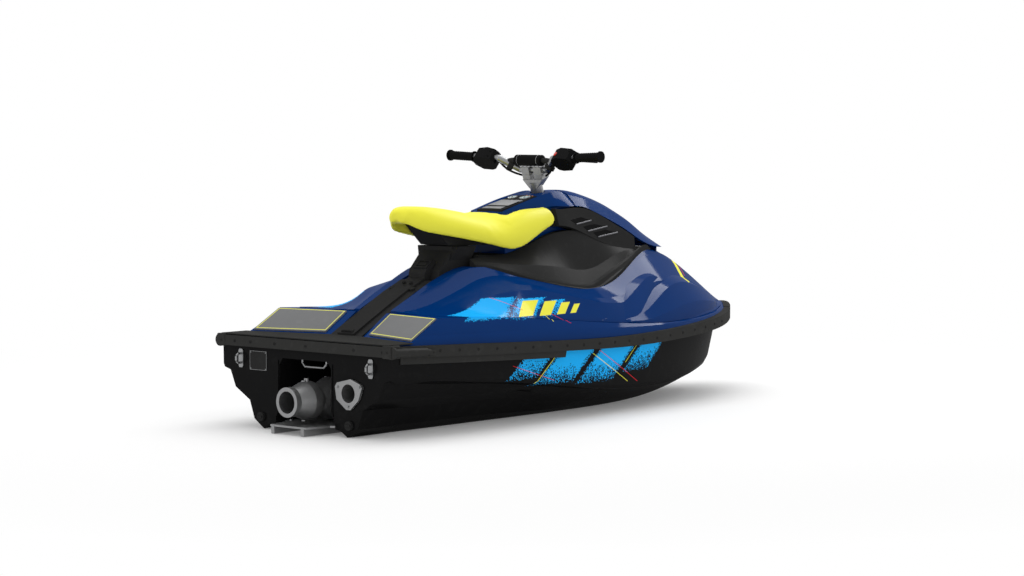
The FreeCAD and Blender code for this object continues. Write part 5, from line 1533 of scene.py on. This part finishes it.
@dataclass
class BarTrim(Outfitter):
    """Bolts, clamps, leads, rings and switches of the handlebar, in millimetres.

    Args:
        stem_origin: Origin of the stem's frame.
        stem_lean: Its lean aft in degrees.
        bar_origin: Origin of the bar's frame.
        bar_lean: Its lean aft in degrees.
        cross: The crossbar's middle line in the bar's frame, as fore and up places.
        cap_bolts: Places of the riser caps' bolts across the craft.
        cap_rows: Fore and up place of each row of them in the stem's frame.
        riser_y: Distance of each riser from the centreline.
        clamp: Radius and length of a crossbar clamp.
        clamp_y: Its distance from the centreline.
        strut: Port strut's line in the bar's frame.
        lead: Port lead's line in the bar's frame.
        ring_y: Distance of each pale ring from the centreline.
        pad_end: Distance of the pad's end caps from the centreline.
        button: Place of the stop button in the bar's frame.
        pod_screws: Fore and across places of the pods' screws.
        grip_start: Where the first rib of a grip lies.
        rib_pitch: Distance from rib to rib.
        ribs: How many ribs a grip has.
        bend: Distance from the centreline and height at which the bar's outer stretch begins.
        tip: Distance from the centreline and height of the bar's end.
    """

    stem_origin: Point = (1281.0, 0.0, 846.0)
    stem_lean: float = 19.0
    bar_origin: Point = (1264.7, 0.0, 927.1)
    bar_lean: float = 49.6
    cross: Tuple[float, float] = (9.0, 45.0)
    cap_bolts: Tuple[float, ...] = (-41.0, -21.0, 21.0, 41.0)
    cap_rows: Tuple[Tuple[float, float], ...] = ((25.0, 98.0), (-4.0, 97.2))
    riser_y: float = 31.0
    clamp: Tuple[float, float] = (19.5, 20.0)
    clamp_y: float = 100.0
    strut: Tuple[Point, ...] = ((9, 66, 45), (9, 84, 45), (7, 104, 43), (3, 118, 42))
    lead: Tuple[Point, ...] = ((2, 152, 62), (-8, 140, 50), (-19, 118, 27), (-20, 96, 6), (-18, 72, -10),
                               (-16, 58, -18))
    ring_y: float = 50.0
    pad_end: float = 60.5
    button: Point = (-4.0, -178.0, 190.0)
    pod_screws: Tuple[Tuple[float, float], ...] = ((12, 172), (-12, 172), (12, 236))
    grip_start: float = 282.0
    rib_pitch: float = 11.0
    ribs: int = 9
    bend: Tuple[float, float] = (140.0, 66.0)
    tip: Tuple[float, float] = (385.0, 82.0)

    PODS = (("switch_housing", 1), ("throttle_housing", -1))

    def build(self) -> None:
        """Build every piece of the handlebar."""
        self._riser_bolts()
        self._clamps()
        self._rings()
        self._switches()
        self._pod_screws()
        self._cables()
        self._grip_ribs()

    @staticmethod
    def _leaning(origin: Point, lean: float, place: Point) -> Vector:
        """Turn a place in a frame that leans aft into the row frame.

        Args:
            origin: Origin of the frame.
            lean: Its lean in degrees.
            place: Fore, across and up place in it.

        Returns:
            The place in the row frame, in metres.
        """
        fore, across, up = place
        turn = math.radians(lean)
        x = origin[0] + fore * math.cos(turn) - up * math.sin(turn)
        z = origin[2] + fore * math.sin(turn) + up * math.cos(turn)
        return at(x, across, z)

    def _on_stem(self, *place: float) -> Vector:
        """Turn a place in the stem's frame into the row frame."""
        return self._leaning(self.stem_origin, self.stem_lean, place)

    def _on_bar(self, *place: float) -> Vector:
        """Turn a place in the bar's frame into the row frame."""
        return self._leaning(self.bar_origin, self.bar_lean, place)

    def _bar_way(self, *way: float) -> Vector:
        """Turn a direction in the bar's frame into the row frame."""
        return (self._on_bar(*way) - self._on_bar(0, 0, 0)).normalized()

    def _bar_line(self, line: Sequence[Point], side: int) -> List[Vector]:
        """Turn a port line in the bar's frame into the row frame, on either side."""
        return [self._on_bar(fore, across * side, up) for fore, across, up in line]

    def _riser_bolts(self) -> None:
        """Bolt the riser caps down and mark their split lines."""
        lean = math.radians(self.stem_lean)
        up = Vector((-math.sin(lean), 0, math.cos(lean)))
        fore = Vector((math.cos(lean), 0, math.sin(lean)))
        places = [stand(self._on_stem(u, y, w), up) for u, w in self.cap_rows for y in self.cap_bolts]
        bolts = Bench.copies(Bench.screw_master(mm(5.2), mm(3.0)), "riser_cap_bolts", places)
        self.fit(bolts, Finish.STEEL, Body.HANDLEBAR)
        caps = []
        for side in (-1, 1):
            rim = Bench.block("rim", (0, 0, 0), span(45, 40.5, 3.0))
            Bench.inset(rim, facing_up, mm(1.0), mm(0.5))
            Bench.round_edges(rim, mm(0.6), 2)
            caps.append(Bench.move(rim, framed(self._on_stem(11, self.riser_y * side, 66.5), fore, up)))
        self.fit(Bench.join(caps, "riser_split_rims"), Finish.CAST_ALUMINIUM, Body.HANDLEBAR)

    def _clamps(self) -> None:
        """Clamp the crossbar's ends and the switch leads to the bar's bends."""
        radius, length = self.clamp
        parts = []
        for side in SIDES:
            way = self._bar_way(0, 70 * side, 66)
            clamp = Bench.disc("clamp", mm(radius), mm(length), 40)
            Bench.inset(clamp, lambda c, n: abs(n.z) > FACING, mm(3.0), mm(1.0))
            Bench.round_edges(clamp, mm(1.5), 2)
            Bench.move(clamp, Matrix.Translation(span(0, 0, -length / 2)))
            parts.append(Bench.move(clamp, stand(self._on_bar(0, self.clamp_y * side, 28.3), way)))
            parts.append(Bench.tube("strut", self._bar_line(self.strut, side), mm(11)))
            ear = Bench.block("ear", (0, 0, 0), span(14, 22, 16))
            Bench.inset(ear, lambda c, n: abs(n.x) > FACING, mm(2), mm(0.8))
            Bench.round_edges(ear, mm(2.5), 3)
            parts.append(Bench.move(ear, framed(self._on_bar(-12, 112 * side, 22), self._bar_way(1, 0, 0),
                                                way)))
            screw = Bench.screw_master(mm(5.0), mm(4.0))
            parts.append(Bench.move(screw, stand(self._on_bar(-4, 116 * side, 34), self._bar_way(0, 0, 1))))
        self.fit(Bench.join(parts, "crossbar_clamps"), Finish.TRIM_PLASTIC, Body.HANDLEBAR)

    def _rings(self) -> None:
        """Set the two pale rings into the crossbar pad and its moulded end caps."""
        u, w = self.cross
        rings = []
        ends = []
        for side in SIDES:
            ring = Bench.ring("ring", mm(21.6), mm(0.9), 56)
            rings.append(Bench.move(Bench.smooth(ring, 60),
                                    stand(self._on_bar(u, self.ring_y * side, w), (0, side, 0))))
            end = Bench.disc("end", mm(21.8), mm(5), 48)
            Bench.inset(end, facing_up, mm(5), mm(2.0))
            Bench.inset(end, up_within(mm(10)), mm(4), mm(1.0))
            Bench.round_edges(end, mm(1.2), 2)
            ends.append(Bench.move(end, stand(self._on_bar(u, self.pad_end * side, w), (0, side, 0))))
        self.fit(Bench.join(rings, "crossbar_rings"), Finish.CAST_ALUMINIUM, Body.HANDLEBAR)
        self.fit(Bench.join(ends, "crossbar_end_caps"), Finish.GRIP_RUBBER, Body.HANDLEBAR)

    def _switches(self) -> None:
        """Fit the stop button and its collar to the throttle's pod."""
        place, normal = self.touch("throttle_housing", self._on_bar(*self.button), -self._bar_way(0, 0, 1))
        button = Bench.disc("stop_button", mm(8.0), mm(5.2), 32)
        Bench.inset(button, facing_up, mm(1.6), mm(1.0))
        Bench.inset(button, up_within(mm(4)), mm(1.4), mm(-0.5))
        Bench.round_edges(button, mm(0.7), 2)
        Bench.move(button, stand(place, normal))
        self.fit(button, Finish.STOP_BUTTON, Body.HANDLEBAR, "trim_plastic")
        collar = Bench.ring("stop_button_collar", mm(9.4), mm(1.5), 40)
        Bench.move(Bench.smooth(collar, 60), stand(place + normal * mm(0.6), normal))
        self.fit(collar, Finish.TRIM_PLASTIC, Body.HANDLEBAR)

    def _pod_screws(self) -> None:
        """Screw the pods together and cap their fore sides."""
        up = self._bar_way(0, 0, 1)
        places = []
        for node, side in self.PODS:
            for u, y in self.pod_screws:
                place, normal = self.touch(node, self._on_bar(u, y * side, 190), -up)
                places.append(stand(place - normal * mm(0.5), normal))
        screws = Bench.copies(Bench.screw_master(mm(4.2), mm(2.6)), "pod_screws", places)
        self.fit(screws, Finish.GRIP_RUBBER, Body.HANDLEBAR)
        lids = []
        for node, side in self.PODS:
            place, normal = self.touch(node, self._on_bar(150, 205 * side, 66), self._bar_way(-1, 0, 0))
            lid = Bench.disc("nub", mm(9), mm(5), 32)
            Bench.inset(lid, facing_up, mm(2.5), mm(2.0))
            Bench.round_edges(lid, mm(1.0), 2)
            lids.append(Bench.move(lid, stand(place - normal * mm(0.5), normal)))
        self.fit(Bench.join(lids, "pod_nubs"), Finish.TRIM_PLASTIC, Body.HANDLEBAR)

    def _cables(self) -> None:
        """Tie the throttle cable and the switch lead along the bar down to the risers."""
        parts = [Bench.tube("lead", self._bar_line(self.lead, side), mm(4.2)) for side in SIDES]
        self.fit(Bench.join(parts, "bar_leads"), Finish.GRIP_RUBBER, Body.HANDLEBAR)

    def _grip_ribs(self) -> None:
        """Ring both grips with the moulded ribs that the hand holds."""
        (near_y, near_w), (far_y, far_w) = self.bend, self.tip
        slope = (far_w - near_w) / (far_y - near_y)
        ribs = []
        for side in SIDES:
            way = (self._on_bar(0, far_y * side, far_w) - self._on_bar(0, near_y * side, near_w)).normalized()
            for index in range(self.ribs):
                y = self.grip_start + index * self.rib_pitch
                centre = self._on_bar(0, y * side, near_w + (y - near_y) * slope)
                rib = Bench.ring("rib", mm(16.6), mm(1.3), 36)
                ribs.append(Bench.move(Bench.smooth(rib, 60), stand(centre, way)))
        self.fit(Bench.join(ribs, "grip_ribs"), Finish.GRIP_RUBBER, Body.HANDLEBAR)


@dataclass
class CockpitTrim(Outfitter):
    """Latch, knobs, channel stop and vent louvres, in millimetres.

    Args:
        latch: Centre of the latch's frame.
        latch_slope: Rise and run of the pedestal's back, where it sits.
        latch_sizes: Lengths of that frame.
        knobs: Place along the craft, place across it and radius of each channel knob.
        stop: Centre of the channel's stop.
        stop_sizes: Its lengths.
        windows: (x, z) corners of each dark pad that paints the shade in a louvre slot.
        slat: Radius of a slat, a pale tube that paints the highlight along a louvre blade's edge.
    """

    latch: Point = (631.0, 0.0, 582.0)
    latch_slope: Tuple[float, float] = (38.0, 54.0)
    latch_sizes: Point = (50.0, 64.0, 7.0)
    knobs: Tuple[Point, ...] = ((520, -52, 11), (520, 52, 11), (548, -18, 7), (548, 18, 7))
    stop: Point = (238.0, 0.0, 349.0)
    stop_sizes: Point = (26.0, 58.0, 16.0)
    windows: Tuple[Tuple[Tuple[float, float], ...], ...] = (
        ((1314.0, 731.0), (1381.0, 741.0), (1446.0, 724.0), (1349.0, 712.0)),
        ((1385.0, 703.0), (1455.0, 712.0), (1544.0, 698.0), (1415.0, 683.0)),
        ((1444.0, 678.0), (1528.0, 687.0), (1607.0, 672.0), (1475.0, 659.0)))
    slat: float = 3.2

    def build(self) -> None:
        """Build every piece of the cockpit."""
        self._latch()
        self._knobs()
        self._channel_foot()
        self._vents()

    def _latch(self) -> None:
        """Frame the seat latch and hang its pull in it."""
        lean = math.atan2(*self.latch_slope)
        place = framed(at(*self.latch), (math.cos(lean), 0, math.sin(lean)),
                       (-math.sin(lean), 0, math.cos(lean)))
        frame = Bench.block("frame", (0, 0, 0), span(*self.latch_sizes))
        Bench.hollow(frame, lambda c, n: abs(n.z) > FACING, mm(9))
        Bench.round_edges(frame, mm(1.8), 2)
        Bench.move(frame, place)
        pull = Bench.block("pull", span(-4, 0, 1), span(16, 40, 9))
        Bench.inset(pull, facing_up, mm(3), mm(-1.5))
        Bench.round_edges(pull, mm(2), 2)
        Bench.move(pull, place)
        self.fit(Bench.join([frame, pull], "latch_frame"), Finish.TRIM_PLASTIC, Body.HULL)

    def _knobs(self) -> None:
        """Set the two knobs and the clips at the channel's head."""
        knobs = []
        for x, y, radius in self.knobs:
            place, normal = self.touch("channel_liner", at(x, y, 700), (0, 0, -1))
            knob = Bench.disc("knob", mm(radius), mm(9), 32)
            Bench.inset(knob, facing_up, mm(2.5), mm(1.5))
            Bench.inset(knob, up_within(mm(5)), mm(1.5), mm(-2.0))
            Bench.round_edges(knob, mm(1.0), 2)
            knobs.append(Bench.move(knob, stand(place - normal * mm(0.5), normal)))
        self.fit(Bench.join(knobs, "channel_knobs"), Finish.TRIM_PLASTIC, Body.HULL)

    def _channel_foot(self) -> None:
        """Close the channel's foot with its moulded stop."""
        stop = Bench.block("channel_stop", at(*self.stop), span(*self.stop_sizes))
        Bench.raise_faces(stop, facing_up, span(6, 0, 6), 0.8)
        Bench.inset(stop, lambda c, n: n.x < -0.8, mm(4), mm(-2))
        Bench.round_edges(stop, mm(3), 3)
        self.fit(stop, Finish.TRIM_PLASTIC, Body.HULL)

    def _vents(self) -> None:
        """Lay three dark pads over each vent panel's louvre slots as painted shade, with a pale slat along each
        pad's lower edge as painted highlight.
        """
        windows = []
        slats = []
        for side, node in ((1, "vent_panel_port"), (-1, "vent_panel_starboard")):
            for corners in self.windows:
                windows.append(self._window(node, side, corners))
                (x2, z2), (x1, z1) = corners[2:]
                points = []
                for share in (0.0, 0.35, 0.7, 1.0):
                    place, normal = self._on_vent(node, side, x1 + (x2 - x1) * share - 6,
                                                  z1 + (z2 - z1) * share + 1.5)
                    points.append(place + normal * mm(1.6))
                slats.append(Bench.tube("slat", points, mm(self.slat)))
        # Dark rubber pads over the louvre slots: painted shade standing for the shadowed openings.
        self.fit(Bench.join(windows, "vent_slot_shade_pads"), Finish.GRIP_RUBBER, Body.HULL)
        # Pale grey slats paint the highlight on the louvre blades' edges; engine_paint lends only its colour.
        self.fit(Bench.join(slats, "vent_slats_painted_highlight"), Finish.ENGINE_PAINT, Body.HULL, "trim_plastic")

    def _on_vent(self, node: str, side: int, x: float, z: float) -> Tuple[Vector, Vector]:
        """Find a place on a vent panel's outer face, bridging its slots.

        Args:
            node: Name of the panel.
            side: 1 to port, -1 to starboard.
            x: Place along the craft in millimetres.
            z: Height in millimetres.

        Returns:
            The place and the normal.
        """
        best = None
        for shift in (0, 14, -14):
            place, normal = self.touch(node, at(x, 300 * side, z + shift), (0, -side, 0))
            if best is None or abs(place.y) > abs(best[0].y) + mm(6):
                best = (Vector((place.x, place.y, mm(z))), normal)
        return best

    def _window(self, node: str, side: int,
                corners: Tuple[Tuple[float, float], ...]) -> bpy.types.Object:
        """Bend a thin dark pad over the panel between four corners, covering its slots with painted shade.

        Args:
            node: Name of the panel.
            side: 1 to port, -1 to starboard.
            corners: The (x, z) corners in millimetres, clockwise from the upper aft one.

        Returns:
            The pad.
        """
        bpy.ops.object.select_all(action="DESELECT")
        bpy.ops.mesh.primitive_grid_add(x_subdivisions=8, y_subdivisions=3, size=2.0)
        pad = bpy.context.object
        pad.name = "window"
        high_aft, high_fore, low_fore, low_aft = (Vector(corner) for corner in corners)
        for vertex in pad.data.vertices:
            fore = (vertex.co.x + 1) / 2
            up = (vertex.co.y + 1) / 2
            spot = high_aft.lerp(high_fore, fore) * up + low_aft.lerp(low_fore, fore) * (1 - up)
            place, normal = self._on_vent(node, side, spot.x, spot.y)
            vertex.co = place + normal * mm(0.5)
        wall = pad.modifiers.new("wall", "SOLIDIFY")
        wall.thickness = mm(1.6)
        wall.offset = 0.0
        bpy.ops.object.modifier_apply(modifier="wall")
        Bench.outward(pad)
        return Bench.round_edges(pad, mm(0.4), 1, 60)


@dataclass
class Studio:
    """Pale floor, soft lights and the camera of the photograph.

    Args:
        camera_at: Place of the camera in metres.
        camera_turn: Its turn in radians.
        lens_mm: Focal length on a 36 mm frame.
        floor_half: Radius of the floor in metres.
        floor_tone: Linear grey of the floor.
        surround: Strength of the world's light.
        overhead_at: Place of the long soft box.
        overhead_sizes: Its lengths in metres.
        overhead_power: Its power in watts.
        aft_at: Place of the weak lamp behind the craft.
        aft_sizes: Its lengths in metres.
        aft_power: Its power in watts.
        aft_aim: Point that it looks at.
        sheen_at: Place of the panel that only glossy coats mirror.
        sheen_sizes: Its lengths in metres.
        sheen_power: Its power in watts.
        near_share: Share of plain white in the floor under the craft, as the camera sees it.
        white_from: Distance in metres from which that share rises.
        white_rise: Rise of that share for each metre.
    """

    camera_at: Point = (-7.8162, -6.8737, 1.1262)
    camera_turn: Point = (math.radians(86.364), 0.0, math.radians(-48.4))
    lens_mm: float = 93.77
    floor_half: float = 400.0
    floor_tone: float = 0.98
    surround: float = 0.74
    overhead_at: Point = (2.2, 0.4, 5.2)
    overhead_sizes: Tuple[float, float] = (8.0, 4.0)
    overhead_power: float = 165.0
    aft_at: Point = (-7.0, 1.5, 3.4)
    aft_sizes: Tuple[float, float] = (3.0, 2.0)
    aft_power: float = 30.0
    aft_aim: Point = (0.0, 0.0, 0.3)
    sheen_at: Point = (5.2, -0.75, 3.5)
    sheen_sizes: Tuple[float, float] = (5.5, 3.1)
    sheen_power: float = 640.0
    near_share: float = 0.14
    white_from: float = 1.5
    white_rise: float = 0.50

    def build(self) -> None:
        """Build the stage, the lights and the camera."""
        self._floor()
        self._world()
        self._lights()
        self._camera()
        bpy.context.scene.view_settings.view_transform = "Standard"

    def _floor(self) -> None:
        """Lay a pale floor that the camera sees as white wherever no shadow falls."""
        bpy.ops.mesh.primitive_circle_add(vertices=96, radius=self.floor_half, fill_type="NGON",
                                          location=(0, 0, -0.0015))
        floor = bpy.context.object
        floor.name = "studio_floor"
        bpy.ops.object.mode_set(mode="EDIT")
        bpy.ops.mesh.select_all(action="SELECT")
        bpy.ops.mesh.inset(thickness=self.floor_half / 2)
        bpy.ops.object.mode_set(mode="OBJECT")
        material = bpy.data.materials.new("studio_floor")
        material.use_nodes = True
        tree = material.node_tree
        desk = NodeDesk(tree)
        shader = tree.nodes["Principled BSDF"]
        shader.inputs["Base Color"].default_value = (*(self.floor_tone,) * 3, 1)
        shader.inputs["Roughness"].default_value = 0.9
        shader.inputs["Specular IOR Level"].default_value = 0.0
        glow = desk.add("ShaderNodeEmission")
        glow.inputs["Strength"].default_value = 1.0
        seen = self._seen(desk)
        x, y, _ = desk.place()
        far = desk.math("SQRT", desk.math("ADD", desk.math("MULTIPLY", x, x), desk.math("MULTIPLY", y, y)))
        rise = desk.math("MULTIPLY", desk.math("SUBTRACT", far, self.white_from), self.white_rise, clamp=True)
        share = desk.math("MULTIPLY_ADD", rise, 1.0 - self.near_share, self.near_share)
        share = desk.math("MULTIPLY", seen, share)
        blend = desk.add("ShaderNodeMixShader")
        desk.join(share, blend.inputs["Fac"])
        desk.join(shader.outputs["BSDF"], blend.inputs[1])
        desk.join(glow.outputs["Emission"], blend.inputs[2])
        desk.join(blend.outputs["Shader"], tree.nodes["Material Output"].inputs["Surface"])
        dress(floor, material)

    def _world(self) -> None:
        """Set a plain surround that camera, metal and glass see as white."""
        world = bpy.data.worlds.new("studio_world")
        bpy.context.scene.world = world
        world.use_nodes = True
        desk = NodeDesk(world.node_tree)
        ground = world.node_tree.nodes["Background"]
        seen = self._seen(desk)
        strength = desk.math("MULTIPLY_ADD", seen, 1.0 - self.surround, self.surround)
        ground.inputs["Color"].default_value = (1, 1, 1, 1)
        desk.join(strength, ground.inputs["Strength"])

    @staticmethod
    def _seen(desk: NodeDesk) -> bpy.types.NodeSocket:
        """Tell the rays that see the background: the camera's, the mirrored and the transmitted ones.

        Args:
            desk: Desk of the material.

        Returns:
            Socket that is 1 for those rays and 0 for the rest.
        """
        path = desk.add("ShaderNodeLightPath")
        seen = desk.math("MAXIMUM", path.outputs["Is Camera Ray"], path.outputs["Is Glossy Ray"])
        return desk.math("MAXIMUM", seen, path.outputs["Is Transmission Ray"])

    def _lights(self) -> None:
        """Hang the long soft box over the craft, a weak one behind it and the panel for the gloss."""
        self._panel("overhead", self.overhead_at, self.overhead_sizes, self.overhead_power)
        aft = self._panel("aft", self.aft_at, self.aft_sizes, self.aft_power)
        aim = Vector(self.aft_aim) - Vector(self.aft_at)
        aft.rotation_euler = aim.to_track_quat("-Z", "Y").to_euler()
        sheen = self._panel("sheen", self.sheen_at, self.sheen_sizes, self.sheen_power)
        sheen.visible_diffuse = False

    @staticmethod
    def _panel(name: str, place: Point, sizes: Tuple[float, float], power: float) -> bpy.types.Object:
        """Hang one rectangular lamp that looks down.

        Args:
            name: Name of the lamp.
            place: Its place in metres.
            sizes: Its lengths in metres.
            power: Its power in watts.

        Returns:
            The lamp's object.
        """
        lamp = bpy.data.lights.new(name, "AREA")
        lamp.shape = "RECTANGLE"
        lamp.size, lamp.size_y = sizes
        lamp.energy = power
        holder = bpy.data.objects.new(name, lamp)
        holder.location = place
        bpy.context.scene.collection.objects.link(holder)
        return holder

    def _camera(self) -> None:
        """Set the camera at the photograph's place."""
        lens = bpy.data.cameras.new("camera")
        lens.lens = self.lens_mm
        lens.sensor_width = 36.0
        lens.sensor_fit = "HORIZONTAL"
        lens.clip_end = 200.0
        holder = bpy.data.objects.new("camera", lens)
        holder.location = self.camera_at
        holder.rotation_euler = self.camera_turn
        bpy.context.scene.collection.objects.link(holder)
        bpy.context.scene.camera = holder


@dataclass
class FrameDressing:
    """Gives every CAD node its finish.

    Args:
        shop: Hands out the materials.
        nodes: The CAD solids by name.
        record: The part's record.
        special: Finishes of the nodes that look darker than their slot's own.
    """

    shop: FinishShop
    nodes: Dict[str, bpy.types.Object]
    record: Dict[str, object]
    special: Dict[str, Finish] = field(default_factory=lambda: {
        "switch_housing": Finish.GRIP_RUBBER, "throttle_housing": Finish.GRIP_RUBBER,
        "crossbar_pad": Finish.GRIP_RUBBER})

    def build(self) -> None:
        """Dress the nodes by the record's slots."""
        slots = {part["node"]: part["material_slot"] for part in self.record["subparts"]}
        for name, obj in self.nodes.items():
            dress(obj, self.shop.get(self.special.get(name, Finish(slots[name]))))
            log.info("dressed %s", name)


def main() -> None:
    """Build the scene in order."""
    logging.basicConfig(level=logging.INFO, format="%(message)s")
    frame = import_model()
    bpy.ops.object.select_all(action="DESELECT")
    Studio().build()
    shop = FinishShop()
    nodes = frame["nodes"]
    FrameDressing(shop, nodes, frame["record"]).build()
    SeatPad(shop, nodes).build()
    for outfitter in (RailTrim, TransomTrim, PumpTrim, GaugeTrim, BarTrim, CockpitTrim):
        outfitter(shop, nodes).build()


if __name__ == "__main__":
    main()
